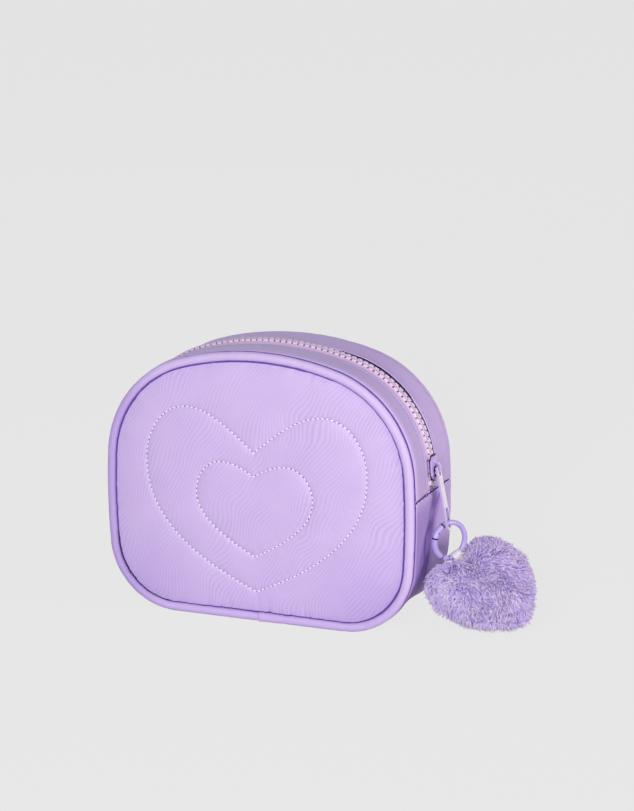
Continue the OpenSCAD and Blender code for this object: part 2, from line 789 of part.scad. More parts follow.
// Spring wire, bedded inside the gate
spring_d = 0.8;
spring_a0 = gate_free_angle + (rivet_angle - gate_free_angle) / 3;
spring_a1 = rivet_angle - 2 * eye_gap_a;
module gate_spring() {
    color(steel) at_ring() wire(spring_a0, spring_a1, spring_d);
}

// Ribbon: a loop of satin round the ring's wire, running down into the heart's cleft
ribbon_in_r = wire_d / 2 + 2 * clearance;
ribbon_radial = cos(ribbon_angle) * ring_dir + [0, 0, sin(ribbon_angle)];
ring_normal = [sin(ring_yaw), -cos(ring_yaw), 0];
ribbon_dir = cos(ribbon_tilt) * ribbon_radial + sin(ribbon_tilt) * ring_normal;
ribbon_root = ring_c + ring_r * ribbon_radial;
module at_ribbon() {
    at_ring() rotate([0, 0, ribbon_angle]) translate([ring_r, 0, 0]) rotate([0, -ribbon_tilt, 0])
        children();
}

// Side view of the loop: round the wire, then drawn together
ribbon_arc_a = [70 : 20 : 290];
module ribbon_outline(r, end_half_t, end_l) {
    polygon(concat([for (a = ribbon_arc_a) r * unit_at(a)], [[end_l, -end_half_t], [end_l, end_half_t]]));
}

module ribbon_loop() {
    color(ribbon_cream) at_ribbon() translate([0, ribbon_w / 2, 0]) rotate([90, 0, 0])
        linear_extrude(ribbon_w) difference() {
            ribbon_outline(ribbon_in_r + ribbon_t, ribbon_t, ribbon_l);
            ribbon_outline(ribbon_in_r, ribbon_t / 4, ribbon_l - 3 * ribbon_t);
        }
}

// Heart charm: two halves of pile fabric round a stuffing
// The ribbon's end sits between the lobes, where the cleft is as wide as the ribbon
charm_seat = lookup(ribbon_w / 2, half_heart(charm_shares, charm_w, charm_h)) - charm_h / 2;
ribbon_end = ribbon_root + (ribbon_l + layer_gap) * ribbon_dir;
puff_power = 2.6;
puff_shares = [0.16, 0.4, 0.62, 0.8, 0.92, 0.98, 1];
inner_puff_shares = [1, 0.9, 0.7, 0.35];

module at_charm() {
    translate(ribbon_end) rotate([0, 0, charm_yaw]) rotate([-charm_lean, 0, 0])
        rotate([0, -charm_roll, 0]) rotate([90, 0, 0]) translate([0, -charm_seat, 0]) children();
}

// Ring of a puffed heart at a share of its outline, on the side that the sign gives
function puff_ring(share, inset, side, seam) =
    let (w = charm_w - 2 * inset, h = charm_h - 2 * inset, t = charm_t / 2 - inset,
        z = t * sqrt(1 - pow(share, puff_power)))
    [for (p = heart(charm_shares, w, h)) [p[0] * share, (p[1] - h / 2) * share, side * max(z, seam)]];

module heart_half(side) {
    rings = concat(
        [for (share = puff_shares) puff_ring(share, 0, side, layer_gap / 2)],
        [for (share = inner_puff_shares) puff_ring(share, pile_base_t, side, layer_gap / 2)]);
    loft(side > 0 ? rings : [for (ring = rings) reverse(ring)]);
}

module heart_front() {
    color(pile_violet) at_charm() heart_half(1);
}

module heart_back() {
    color(pile_violet) at_charm() heart_half(-1);
}

module heart_stuffing() {
    inset = pile_base_t + layer_gap;
    color(cord_white) at_charm() loft(concat(
        [for (share = reverse(inner_puff_shares)) puff_ring(share, inset, 1, 0)],
        [for (share = inner_puff_shares) if (share < 1) puff_ring(share, inset, -1, 0)]));
}

front_panel();
front_padding();
front_lining();
back_panel();
back_padding();
back_lining();
front_piping();
front_piping_cord();
back_piping();
back_piping_cord();
seam_binding_front();
seam_binding_rear();
base_gusset();
gusset_lining();
zip_strip_front();
zip_strip_rear();
zip_facing_front();
zip_facing_rear();
zip_tape_front();
zip_tape_rear();
zip_teeth_front();
zip_teeth_rear();
zip_stops();
zip_slider();
pull_tab();
clip_ring();
ring_gate();
gate_pin();
gate_spring();
ribbon_loop();
heart_front();
heart_back();
heart_stuffing();
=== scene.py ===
"""Looks of a rounded cosmetic bag: quilted satin body, curved zip, clip ring and stuffed heart charm."""
from __future__ import annotations

import json
import logging
import math
import random
from dataclasses import dataclass, field
from enum import Enum, IntEnum
from typing import Callable, Sequence

import bmesh
import bpy
import numpy as np
from mathutils import Matrix, Vector, kdtree, noise

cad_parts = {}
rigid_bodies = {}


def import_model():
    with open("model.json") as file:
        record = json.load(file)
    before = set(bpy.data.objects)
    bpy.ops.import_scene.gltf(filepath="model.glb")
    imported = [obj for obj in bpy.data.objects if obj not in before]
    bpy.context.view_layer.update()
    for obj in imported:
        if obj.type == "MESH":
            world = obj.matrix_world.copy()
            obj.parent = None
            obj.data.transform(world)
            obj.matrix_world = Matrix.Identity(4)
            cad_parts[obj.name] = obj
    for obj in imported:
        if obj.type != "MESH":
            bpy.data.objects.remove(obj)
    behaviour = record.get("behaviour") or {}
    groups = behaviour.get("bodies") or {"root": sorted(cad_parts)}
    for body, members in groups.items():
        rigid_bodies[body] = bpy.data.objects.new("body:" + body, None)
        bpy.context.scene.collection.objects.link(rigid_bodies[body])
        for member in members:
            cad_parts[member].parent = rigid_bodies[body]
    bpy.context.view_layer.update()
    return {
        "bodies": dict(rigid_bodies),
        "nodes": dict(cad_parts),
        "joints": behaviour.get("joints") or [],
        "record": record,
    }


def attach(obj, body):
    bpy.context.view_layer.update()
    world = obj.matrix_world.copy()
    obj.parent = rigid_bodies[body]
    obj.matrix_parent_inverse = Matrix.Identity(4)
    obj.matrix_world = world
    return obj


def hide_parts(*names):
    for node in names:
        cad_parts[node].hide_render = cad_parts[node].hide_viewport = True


LOG = logging.getLogger("cosmetic_bag")
MM = 0.001
IMAGE_H_PX = 811
SENSOR_MM = 36.0
SHADE = "shade"
NOISE_SEED = 7
PILE_SEED = 7

Point2 = tuple[float, float]
Faces = list[tuple[int, ...]]
Settings = dict[str, object]
Tree = bpy.types.NodeTree
Socket = bpy.types.NodeSocket
Pattern = tuple[Socket, Socket | None]


# Finishes
def srgb(hex_colour: str) -> tuple[float, float, float, float]:
    """Turns an sRGB hex colour into linear RGBA.

    Args:
        hex_colour: Six hex digits, with or without a leading hash.

    Returns:
        The linear colour with an alpha of one.
    """
    digits = hex_colour.lstrip("#")
    channels = [int(digits[i:i + 2], 16) / 255 for i in (0, 2, 4)]
    linear = [c / 12.92 if c <= 0.04045 else ((c + 0.055) / 1.055) ** 2.4 for c in channels]
    return (*linear, 1.0)


def new_tree(owner: bpy.types.ID) -> Tree:
    """Turns on the nodes of a material or a world and returns their emptied tree."""
    owner.use_nodes = True
    owner.node_tree.nodes.clear()
    return owner.node_tree


def add_node(tree: Tree, kind: str, settings: Settings | None = None,
             links: Settings | None = None) -> bpy.types.Node:
    """Adds one shader node.

    Args:
        tree: The tree that receives it.
        kind: Blender's node type.
        settings: Attribute or socket values. A socket is named as "in:Name" or "in:index".
        links: Input name or index to the output socket that feeds it.

    Returns:
        The new node.
    """
    node = tree.nodes.new(kind)
    for key, value in (settings or {}).items():
        if key.startswith("in:"):
            name = key[3:]
            node.inputs[int(name) if name.isdigit() else name].default_value = value
        else:
            setattr(node, key, value)
    for key, output in (links or {}).items():
        tree.links.new(output, node.inputs[int(key) if key.isdigit() else key])
    return node


class Tone(Enum):
    """The dye lots and lacquers of the bag, and the painted shades and painted reflection laid over them, as
    sRGB colours (base, deeper).
    """

    SATIN = ("#CAB8E2", "#BCA8D8")
    SIDE = ("#C1AEDB", "#B5A1D2")
    TAPE = ("#E0CBE8", "#CFB2D8")
    # Painted shade that the satins mix in where a mesh marks seams, folds and corners away from the light
    SATIN_SHADE = ("#6A38B2", "#6030A4")
    # Painted shade of the tape's cord between the teeth
    CORD = ("#7A4A80", "#6C3E74")
    LINING = ("#C6B6DC", "#B8A6D2")
    RIBBON = ("#D6D2DB", "#C4BFCE")
    ENAMEL = ("#B0A4DA", "#A092CC")
    HARDWARE = ("#B29AD6", "#A68CCC")
    CASTING = ("#BDA8DF", "#B09AD4")
    # Painted reflection of the pale room on the pull's broad faces
    PAINTED_REFLECTION = ("#EFE9F4", "#E2D8EC")
    TOOTH = ("#D9CBDD", "#C8B2CE")
    THREAD = ("#F3F0F8", "#E2DCEE")
    # Painted deep shade at needle holes, seam ends, the rear fold and between the rear teeth
    NEEDLE = ("#43306B", "#3A2860")
    # Painted shade in the gaps between hardware parts
    GAP = ("#1E1238", "#1A1030")
    # Painted shade in the seams
    SEAM = ("#6A4EA6", "#5E429A")
    # Pale tips, and the violet painted shade towards the roots
    PILE = ("#F6EBFF", "#9276E6")
    STEEL = ("#B8B8BE", "#A5A5AC")


@dataclass(frozen=True)
class Finish:
    """What a surface is made of and how it was made.

    The subclasses add the pattern that the making leaves. Lengths are in millimetres.
    """

    name: str
    tone: Tone
    roughness: float = 0.5
    specular: float = 0.4
    metallic: float = 0.0
    coat: float = 0.0
    coat_roughness: float = 0.1
    coat_ior: float = 1.5
    sheen: float = 0.0
    sheen_roughness: float = 0.4
    relief_mm: float = 0.03

    def material(self) -> bpy.types.Material:
        """Builds the material, once for each name.

        Returns:
            The Blender material.
        """
        found = bpy.data.materials.get(self.name)
        if found:
            return found
        made = bpy.data.materials.new(self.name)
        made.diffuse_color = srgb(self.tone.value[0])
        tree = new_tree(made)
        coords = add_node(tree, "ShaderNodeTexCoord").outputs["Object"]
        shader = add_node(tree, "ShaderNodeBsdfPrincipled", {
            "in:Roughness": self.roughness, "in:Metallic": self.metallic,
            "in:Specular IOR Level": self.specular, "in:Coat Weight": self.coat,
            "in:Coat Roughness": self.coat_roughness, "in:Coat IOR": self.coat_ior,
            "in:Sheen Weight": self.sheen, "in:Sheen Roughness": self.sheen_roughness})
        colour, height = self.pattern(tree, coords)
        tree.links.new(colour, shader.inputs["Base Color"])
        if height is not None:
            depth = add_node(tree, "ShaderNodeBump", {"in:Strength": 1.0, "in:Distance": self.relief_mm * MM},
                             {"Height": height})
            tree.links.new(depth.outputs["Normal"], shader.inputs["Normal"])
        add_node(tree, "ShaderNodeOutputMaterial", None, {"Surface": shader.outputs["BSDF"]})
        return made

    def pattern(self, tree: Tree, coords: Socket) -> Pattern:
        """Draws the surface's own pattern.

        Args:
            tree: The material's tree.
            coords: Coordinates in metres.

        Returns:
            The colour socket, and the relief socket or None where it is smooth.
        """
        raise NotImplementedError

    def mixed(self, tree: Tree, factor: Socket) -> Socket:
        """Mixes the finish's two tones by a factor and returns the colour socket."""
        mix = add_node(tree, "ShaderNodeMix", {"data_type": "RGBA", "in:6": srgb(self.tone.value[0]),
                                               "in:7": srgb(self.tone.value[1])}, {"0": factor})
        return mix.outputs[2]


def wave_scale(period_mm: float) -> float:
    """Scale of a wave texture, which has a period of pi / (10 scale), for a period in millimetres."""
    return math.pi / (10 * period_mm * MM)


@dataclass(frozen=True)
class RibbedSatin(Finish):
    """Polyester satin, crinkled in finishing, which leaves fine wavy ribs that catch the light."""

    relief_mm: float = 0.05
    rib_mm: float = 1.8
    rib_share: float = 0.6
    tilt_deg: float = 64.0
    wave_mm: float = 55.0
    sway_mm: float = 17.0
    patch_mm: float = 14.0
    weave_mm: float = 0.4
    weave_share: float = 0.35

    def pattern(self, tree: Tree, coords: Socket) -> Pattern:
        """Draws wavy ribs over a fine weave, with painted shade mixed in where the mesh marks it."""
        sway = add_node(tree, "ShaderNodeTexNoise", {"in:Scale": 1 / (self.wave_mm * MM), "in:Detail": 1.0},
                        {"Vector": coords})
        shift = add_node(tree, "ShaderNodeVectorMath",
                         {"operation": "MULTIPLY_ADD", "in:1": (self.sway_mm * MM,) * 3},
                         {"0": sway.outputs["Color"], "2": coords})
        turned = add_node(tree, "ShaderNodeMapping", {"in:Rotation": (0, math.radians(self.tilt_deg), 0)},
                          {"Vector": shift.outputs["Vector"]})
        ribs = add_node(tree, "ShaderNodeTexWave",
                        {"bands_direction": "Z", "in:Scale": wave_scale(self.rib_mm), "in:Distortion": 0.5,
                         "in:Detail": 1.0, "in:Detail Scale": 0.3}, {"Vector": turned.outputs["Vector"]})
        patches = add_node(tree, "ShaderNodeTexNoise",
                           {"in:Scale": 1 / (self.patch_mm * MM), "in:Detail": 2.0}, {"Vector": coords})
        blend = add_node(tree, "ShaderNodeMath", {"operation": "MULTIPLY"},
                         {"0": ribs.outputs["Fac"], "1": patches.outputs["Fac"]})
        factor = add_node(tree, "ShaderNodeMath", {"operation": "MULTIPLY", "in:1": 2 * self.rib_share},
                          {"0": blend.outputs["Value"]})
        # The real weave is about 0.15 mm, too fine to show, so it is drawn coarser
        weave = add_node(tree, "ShaderNodeTexNoise", {"in:Scale": 1 / (self.weave_mm * MM), "in:Detail": 1.0},
                         {"Vector": coords})
        relief = add_node(tree, "ShaderNodeMath", {"operation": "MULTIPLY_ADD", "in:1": self.weave_share},
                          {"0": weave.outputs["Fac"], "2": ribs.outputs["Fac"]})
        # Painted shade: the satin is mixed towards a deep violet where it dips into a seam or a fold, which
        # each mesh marks point by point
        dip = add_node(tree, "ShaderNodeAttribute", {"attribute_name": SHADE})
        deep = add_node(tree, "ShaderNodeMix", {"data_type": "RGBA", "in:7": srgb(Tone.SATIN_SHADE.value[0])},
                        {"0": dip.outputs["Fac"], "6": self.mixed(tree, factor.outputs["Value"])})
        return deep.outputs[2], relief.outputs["Value"]


@dataclass(frozen=True)
class Woven(Finish):
    """Flat cloth in a plain or twill weave, seen as crossed threads."""

    relief_mm: float = 0.04
    thread_mm: float = 0.5
    turn_deg: float = 0.0
    thread_share: float = 0.7

    def pattern(self, tree: Tree, coords: Socket) -> Pattern:
        """Draws two sets of threads across each other."""
        turned = add_node(tree, "ShaderNodeMapping", {"in:Rotation": (0, 0, math.radians(self.turn_deg))},
                          {"Vector": coords})
        waves = [add_node(tree, "ShaderNodeTexWave",
                          {"bands_direction": way, "in:Scale": wave_scale(self.thread_mm),
                           "in:Distortion": 0.6, "in:Detail Scale": 1.0},
                          {"Vector": turned.outputs["Vector"]}).outputs["Fac"] for way in ("X", "Y", "Z")]
        first = add_node(tree, "ShaderNodeMath", {"operation": "MAXIMUM"}, {"0": waves[0], "1": waves[1]})
        both = add_node(tree, "ShaderNodeMath", {"operation": "MULTIPLY"},
                        {"0": first.outputs["Value"], "1": waves[2]})
        factor = add_node(tree, "ShaderNodeMath", {"operation": "MULTIPLY", "in:1": self.thread_share},
                          {"0": both.outputs["Value"]})
        return self.mixed(tree, factor.outputs["Value"]), both.outputs["Value"]


@dataclass(frozen=True)
class Moulded(Finish):
    """Moulded acetal or lacquered zinc: smooth, with the faint orange peel of the tool or lacquer."""

    relief_mm: float = 0.02
    peel_mm: float = 1.2
    patch_mm: float = 5.0
    patch_share: float = 0.8

    def pattern(self, tree: Tree, coords: Socket) -> Pattern:
        """Draws soft patches of tone and a slight peel."""
        peel = add_node(tree, "ShaderNodeTexNoise", {"in:Scale": 1 / (self.peel_mm * MM), "in:Detail": 1.0},
                        {"Vector": coords})
        patches = add_node(tree, "ShaderNodeTexNoise",
                           {"in:Scale": 1 / (self.patch_mm * MM), "in:Detail": 3.0}, {"Vector": coords})
        spread = add_node(tree, "ShaderNodeMapRange",
                          {"in:From Min": 0.3, "in:From Max": 0.7, "in:To Max": self.patch_share},
                          {"Value": patches.outputs["Fac"]})
        return self.mixed(tree, spread.outputs["Result"]), peel.outputs["Fac"]


@dataclass(frozen=True)
class LongPile(Finish):
    """Knitted polyester pile: painted shade darkens each strand towards its root, so that its tip looks lit.
    """

    tuft_mm: float = 7.0
    tuft_share: float = 0.2

    def pattern(self, tree: Tree, coords: Socket) -> Pattern:
        """Mixes painted shade from root to tip, and each tuft's own tone; the relief is the strands."""
        shade = add_node(tree, "ShaderNodeAttribute", {"attribute_name": SHADE})
        tufts = add_node(tree, "ShaderNodeTexNoise", {"in:Scale": 1 / (self.tuft_mm * MM), "in:Detail": 2.0},
                         {"Vector": coords})
        soft = add_node(tree, "ShaderNodeMapRange",
                        {"in:From Min": 0.3, "in:From Max": 0.7, "in:To Max": self.tuft_share},
                        {"Value": tufts.outputs["Fac"]})
        both = add_node(tree, "ShaderNodeMath", {"operation": "ADD", "use_clamp": True},
                        {"0": shade.outputs["Fac"], "1": soft.outputs["Result"]})
        return self.mixed(tree, both.outputs["Value"]), None


# Crinkled polyester satin: fine wavy ribs that shimmer pale lilac over the quilted front
FRONT_SATIN = RibbedSatin("front_ribbed_satin", Tone.SATIN, roughness=0.5, sheen=0.12, specular=0.25,
                          wave_mm=36, sway_mm=24, rib_share=0.68)
# The same satin cut on the bias and rolled round a cord: a soft broad gleam along the piping
PIPING_SATIN = RibbedSatin("piping_bias_satin", Tone.SATIN, roughness=0.62, sheen=0.1, specular=0.2,
                           rib_share=0.2, rib_mm=1.1, tilt_deg=30, relief_mm=0.02)
# Flat satin beside the zip and on the back: nearly smooth, a shade deeper than the front
SIDE_SATIN = RibbedSatin("side_plain_satin", Tone.SIDE, roughness=0.5, sheen=0.05, specular=0.14,
                         rib_share=0.14, rib_mm=1.3, tilt_deg=88, sway_mm=3, relief_mm=0.01)
# The gusset's satin: duller, so that its folds read by their painted shade and not by a gleam
GUSSET_SATIN = RibbedSatin("gusset_plain_satin", Tone.SIDE, roughness=0.55, specular=0.05,
                           rib_share=0.14, rib_mm=1.3, tilt_deg=88, sway_mm=3, relief_mm=0.01)
# Twill polyester tape: matt, pinkish, with threads that just show beside the teeth
TWILL_TAPE = Woven("zip_twill_tape", Tone.TAPE, roughness=0.75, specular=0.2, thread_mm=0.55)
# Polyester taffeta lining: a plain even lilac with a faint grid of threads
PLAIN_LINING = Woven("taffeta_lining", Tone.LINING, roughness=0.6, specular=0.3, thread_mm=0.7)
# Woven satin ribbon: a pale grey-lilac gleam at the heart's cleft
SATIN_RIBBON = Woven("satin_ribbon", Tone.RIBBON, roughness=0.35, specular=0.5, sheen=0.3, thread_mm=0.45,
                     relief_mm=0.02, turn_deg=40)
# Baked enamel on zinc: an even lilac with small clean highlights along the ring
ENAMEL = Moulded("enamelled_zinc", Tone.ENAMEL, roughness=0.32, specular=0.3, coat=0.3, coat_roughness=0.08)
# The pull's rim under a thick glossy coat: sharp bright edges against a deeper lilac
GLOSS_ENAMEL = Moulded("gloss_enamelled_zinc", Tone.HARDWARE, roughness=0.25, specular=0.5, coat=1.0,
                       coat_roughness=0.04, coat_ior=2.4, relief_mm=0.01)
# Enamel over a cast slider: softer highlights, because the casting under it is less flat
CAST_ENAMEL = Moulded("cast_enamelled_zinc", Tone.CASTING, roughness=0.3, specular=0.4, coat=0.6,
                      coat_roughness=0.06)
# The pull's broad faces: a near-white painted reflection of the pale room, under a real glossy coat
ENAMEL_WITH_PAINTED_REFLECTION = Moulded("enamel_with_painted_reflection", Tone.PAINTED_REFLECTION, roughness=0.2, specular=0.5, coat=1.0,
                        coat_roughness=0.03, coat_ior=3.0, relief_mm=0.01)
# Painted shade for an unlit gap: a thin near-black line between two parts
PAINTED_GAP_SHADE = Moulded("painted_gap_shade", Tone.GAP, roughness=0.9, specular=0.05)
# Painted shade on the tape's corded edge: plum dots between the teeth
CORD_SHADOW = Woven("tape_cord_in_shadow", Tone.CORD, roughness=0.9, specular=0.1)
# Injection moulded acetal: smooth pinkish teeth with a soft waxy shine
ACETAL = Moulded("moulded_acetal", Tone.TOOTH, roughness=0.5, specular=0.3, relief_mm=0.01)
# Spun polyester thread: near-white dashes that stand out on the satin
THREAD = Woven("polyester_thread", Tone.THREAD, roughness=0.5, specular=0.4, thread_mm=0.4, relief_mm=0.02)
# Painted deep shade: small dark violet dots at the needle holes, the darkest part of a seam and the inner
# face of the rear fold
PAINTED_DEEP_SHADE = Woven("painted_deep_shade_cloth", Tone.NEEDLE, roughness=0.9, specular=0.1)
# Bare drawn steel: a small bright grey pin
SPRING_STEEL = Moulded("drawn_steel", Tone.STEEL, roughness=0.3, metallic=1.0)
# Painted seam shade: a deep violet line in the seams that outlines the panels
PAINTED_SEAM_SHADE = Woven("painted_seam_shade", Tone.SEAM, roughness=0.85, specular=0.1)
# Knitted polyester pile: soft and matt, pale at the tips, with violet painted shade towards the roots and on
# the skin under it
PILE = LongPile("knitted_long_pile", Tone.PILE, roughness=0.6, specular=0.08)


# Outline and mesh tools
def sin_deg(angle: float) -> float:
    """Sine of an angle in degrees."""
    return math.sin(math.radians(angle))


def cos_deg(angle: float) -> float:
    """Cosine of an angle in degrees."""
    return math.cos(math.radians(angle))


@dataclass
class Outline:
    """Outline of the bag seen from the front, as four arcs on each side of the middle. Millimetres."""

    width: float = 176.0
    height: float = 146.5
    bottom_r: float = 38.5
    side_r: float = 400.0
    side_dip: float = 3.85
    side_rise: float = 3.3
    crown: float = 16.9

    def __post_init__(self) -> None:
        """Works out each arc's centre and radius, and the length from the top at which it ends."""
        rise_sin, rise_cos = sin_deg(self.side_rise), cos_deg(self.side_rise)
        reach = self.side_r - self.bottom_r
        self.side_c = (self.width / 2 - self.side_r, self.bottom_r + reach * sin_deg(self.side_dip))
        self.bottom_c = (self.side_c[0] + reach * cos_deg(self.side_dip), self.bottom_r)
        # The top corner's radius is the one with which the crown's arc ends at the bag's full height
        slope = math.tan(math.radians(self.crown / 2))
        above = self.height - self.side_c[1] - self.side_r * rise_sin
        beside = slope * (self.width / 2 - self.side_r * (1 - rise_cos))
        self.top_r = (above - beside) / (1 - rise_sin - slope * rise_cos)
        reach = self.side_r - self.top_r
        self.top_c = (self.side_c[0] + reach * rise_cos, self.side_c[1] + reach * rise_sin)
        self.crown_r = self.top_r + self.top_c[0] / sin_deg(self.crown)
        self.crown_c = (0.0, self.top_c[1] + (self.top_r - self.crown_r) * cos_deg(self.crown))
        self.crown_end = self.crown_r * math.radians(self.crown)
        self.corner_end = self.crown_end + self.top_r * math.radians(90 - self.crown - self.side_rise)
        self.side_end = self.corner_end + self.side_r * math.radians(self.side_rise + self.side_dip)
        self.bottom_end = self.side_end + self.bottom_r * math.radians(90 - self.side_dip)
        self.half = self.bottom_end + self.bottom_c[0]

    def normal_deg(self, s: float) -> float:
        """Angle of the outward normal at a length s from the middle of the top, right half."""
        if s <= self.crown_end:
            return 90 - math.degrees(s / self.crown_r)
        if s <= self.corner_end:
            return 90 - self.crown - math.degrees((s - self.crown_end) / self.top_r)
        if s <= self.side_end:
            return self.side_rise - math.degrees((s - self.corner_end) / self.side_r)
        if s <= self.bottom_end:
            return -self.side_dip - math.degrees((s - self.side_end) / self.bottom_r)
        return -90.0

    def point(self, s: float, inset: float) -> Point2:
        """Point of the outline.

        Args:
            s: Length along the outline, 0 at the middle of the top and growing clockwise.
            inset: Depth below the outline.

        Returns:
            Its x and z in millimetres.
        """
        mirrored = s < 0 or s > self.half
        t = 2 * self.half - s if s > self.half else abs(s)
        if t > self.bottom_end:
            x, z = self.half - t, inset
        else:
            a = math.radians(self.normal_deg(t))
            arcs = ((self.crown_end, self.crown_c, self.crown_r), (self.corner_end, self.top_c, self.top_r),
                    (self.side_end, self.side_c, self.side_r),
                    (self.bottom_end, self.bottom_c, self.bottom_r))
            centre, r = next((centre, r) for end, centre, r in arcs if t <= end)
            x, z = centre[0] + (r - inset) * math.cos(a), centre[1] + (r - inset) * math.sin(a)
        return (-x, z) if mirrored else (x, z)

    def frame(self, s: float, inset: float) -> Matrix:
        """Placement on the outline: local X outwards, Y across the bag, Z along it towards the top."""
        x, z = self.point(s, inset)
        a = math.radians(self.normal_deg(abs(s)))
        if s < 0:
            a = math.pi - a
        return Matrix.Translation((x, 0, z)) @ Matrix.Rotation(-a, 4, "Y")

    def loop(self, step: float) -> list[float]:
        """Lengths once round the bag, about one step apart."""
        count = round(2 * self.half / step)
        return [2 * self.half * i / count for i in range(count)]


class Side(IntEnum):
    """The two sides of the bag, with the sign of their depth coordinate."""

    FRONT = -1
    REAR = 1


BAG = Outline()
# Half of the depth between the two seams
SEAM_Y = 29.5
PIPING_R = 2.45
GUSSET_Y = SEAM_Y - PIPING_R
# Depth of the tapes' middle below the outline, and height of the slider's upper plate above it
TAPE_MID = 1.8
PLATE_TOP = 1.5
# Lengths along the outline of the slider and of the seam below the zip
SLIDER_S = BAG.corner_end
SEAM_S = SLIDER_S + 12.8
# The thread puckers that seam by two waves, which fade over this length and stop short of the piping
PUCKER_FADE = 2.5
PUCKER_Y = 27.3


def puckered(s: float, y: float) -> float:
    """Length along the outline, moved a little where the thread puckers the seam below the zip."""
    if abs(y) > PUCKER_Y:
        return s
    t = 2 * BAG.half - s if s > BAG.half else abs(s)
    waves = 0.26 * math.sin(1.15 * y) + 0.14 * math.sin(2.9 * y + 1)
    wave = waves * math.exp(-abs(t - SEAM_S) / PUCKER_FADE)
    return s - wave if s > BAG.half or s < 0 else s + wave


def smooth_step(t: float) -> float:
    """Eases from 0 to 1 as t does."""
    t = min(1.0, max(0.0, t))
    return t * t * (3 - 2 * t)


def hump(s: float, height: float, at: float, half: float) -> float:
    """Smooth rise by a height round a place, over a half length on each side."""
    return height * math.exp(-((s - at) / half) ** 2)


def grid_faces(rows: int, cols: int, close_rows: bool = False, close_cols: bool = False) -> Faces:
    """Quads over a grid of points.

    Args:
        rows: Number of rows.
        cols: Points in each row.
        close_rows: Whether the last row joins the first.
        close_cols: Whether each row closes on itself.

    Returns:
        The faces as point numbers.
    """
    faces = []
    for i in range(rows if close_rows else rows - 1):
        for j in range(cols if close_cols else cols - 1):
            a, b = i * cols + j, i * cols + (j + 1) % cols
            c, d = (i + 1) % rows * cols + (j + 1) % cols, (i + 1) % rows * cols + j
            faces.append((a, b, c, d))
    return faces


def rim_faces(rows: int, cols: int) -> Faces:
    """Quads that join the edges of two equal grids of points, the second numbered on from the first."""
    ways = [(i * cols + j, (i + 1) * cols + j) for i in range(rows - 1) for j in (0, cols - 1)]
    ways += [(i * cols + j, i * cols + j + 1) for j in range(cols - 1) for i in (0, rows - 1)]
    return [(a, b, b + rows * cols, a + rows * cols) for a, b in ways]


def hand_over(name: str, mesh: bpy.types.Mesh, body: str,
              replaces: Sequence[str] = ()) -> bpy.types.Object:
    """Makes an object of a mesh and hands it to its body.

    Args:
        name: The object's name.
        mesh: Its finished mesh.
        body: The body that it rides on.
        replaces: The plain nodes that it stands for.

    Returns:
        The new object.
    """
    made = bpy.data.objects.new(name, mesh)
    bpy.context.collection.objects.link(made)
    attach(made, body)
    if replaces:
        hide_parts(*replaces)
    LOG.info("%s: %d points, %d faces on %s", name, len(mesh.vertices), len(mesh.polygons), body)
    return made


@dataclass
class Piece:
    """Points in millimetres and faces that become one named object."""

    name: str
    verts: list[Sequence[float]] = field(default_factory=list)
    faces: Faces = field(default_factory=list)
    tones: list[int] = field(default_factory=list)
    attribute: list[float] = field(default_factory=list)

    def add(self, verts: Sequence[Sequence[float]], faces: Faces, tone: int = 0,
            place: Matrix | None = None) -> None:
        """Adds a patch of points and faces.

        Args:
            verts: Its points in millimetres.
            faces: Its faces, numbered from its own first point.
            tone: The finish number of its faces.
            place: Matrix that moves it into place, or None where it is in place.
        """
        start = len(self.verts)
        self.verts.extend([tuple(place @ Vector(v)) for v in verts] if place else verts)
        self.faces.extend(tuple(i + start for i in f) for f in faces)
        self.tones.extend([tone] * len(faces))

    def build(self, finishes: Sequence[Finish], body: str, slot: str, replaces: Sequence[str] = (),
              sharp_deg: float | None = None) -> bpy.types.Object:
        """Makes the object, with outward faces, and hands it to its body.

        Args:
            finishes: One finish for each tone number.
            body: The body that it rides on.
            slot: Not used.
            replaces: The plain nodes that it stands for.
            sharp_deg: Angle above which an edge stays sharp, or None where all is smooth.

        Returns:
            The new object.
        """
        mesh = bpy.data.meshes.new(self.name)
        mesh.from_pydata([(x * MM, y * MM, z * MM) for x, y, z in self.verts], [], self.faces)
        for finish in finishes:
            mesh.materials.append(finish.material())
        mesh.polygons.foreach_set("material_index", self.tones)
        if self.attribute:
            layer = mesh.attributes.new(SHADE, "FLOAT", "POINT")
            layer.data.foreach_set("value", self.attribute)
        shaped = bmesh.new()
        shaped.from_mesh(mesh)
        bmesh.ops.recalc_face_normals(shaped, faces=shaped.faces)
        shaped.to_mesh(mesh)
        shaped.free()
        mesh.shade_smooth()
        if sharp_deg is not None:
            mesh.set_sharp_from_angle(angle=math.radians(sharp_deg))
        return hand_over(self.name, mesh, body, replaces)


Profile = Callable[[float], list[Point2]]


def sweep(piece: Piece, lengths: Sequence[float], profile: Profile, closed: bool,
          dark_columns: Sequence[int] = (), dark_ends: bool = False) -> None:
    """Runs a closed profile along the outline.

    Args:
        piece: Receives the points and faces.
        lengths: Where the profile is set, as lengths along the outline.
        profile: Gives (y, inset) points for a length.
        closed: Whether the sweep goes once round and joins up.
        dark_columns: Columns of faces that lie in a seam and take finish number 1, a painted seam shade.
        dark_ends: Whether the first and last rows take finish number 2, a painted deep shade.
    """
    verts = []
    for s in lengths:
        for y, inset in profile(s):
            x, z = BAG.point(puckered(s, y), inset)
            verts.append((x, y, z))
    cols = len(verts) // len(lengths)
    faces = grid_faces(len(lengths), cols, close_rows=closed, close_cols=True)
    last = len(lengths) - 2
    tones = [2 if dark_ends and i // cols in (0, last) else int(i % cols in dark_columns)
             for i in range(len(faces))]
    if not closed:
        faces += [tuple(range(cols)), tuple(range(len(verts) - cols, len(verts)))]
        tones += [0, 0]
    piece.add(verts, faces)
    piece.tones[-len(tones):] = tones


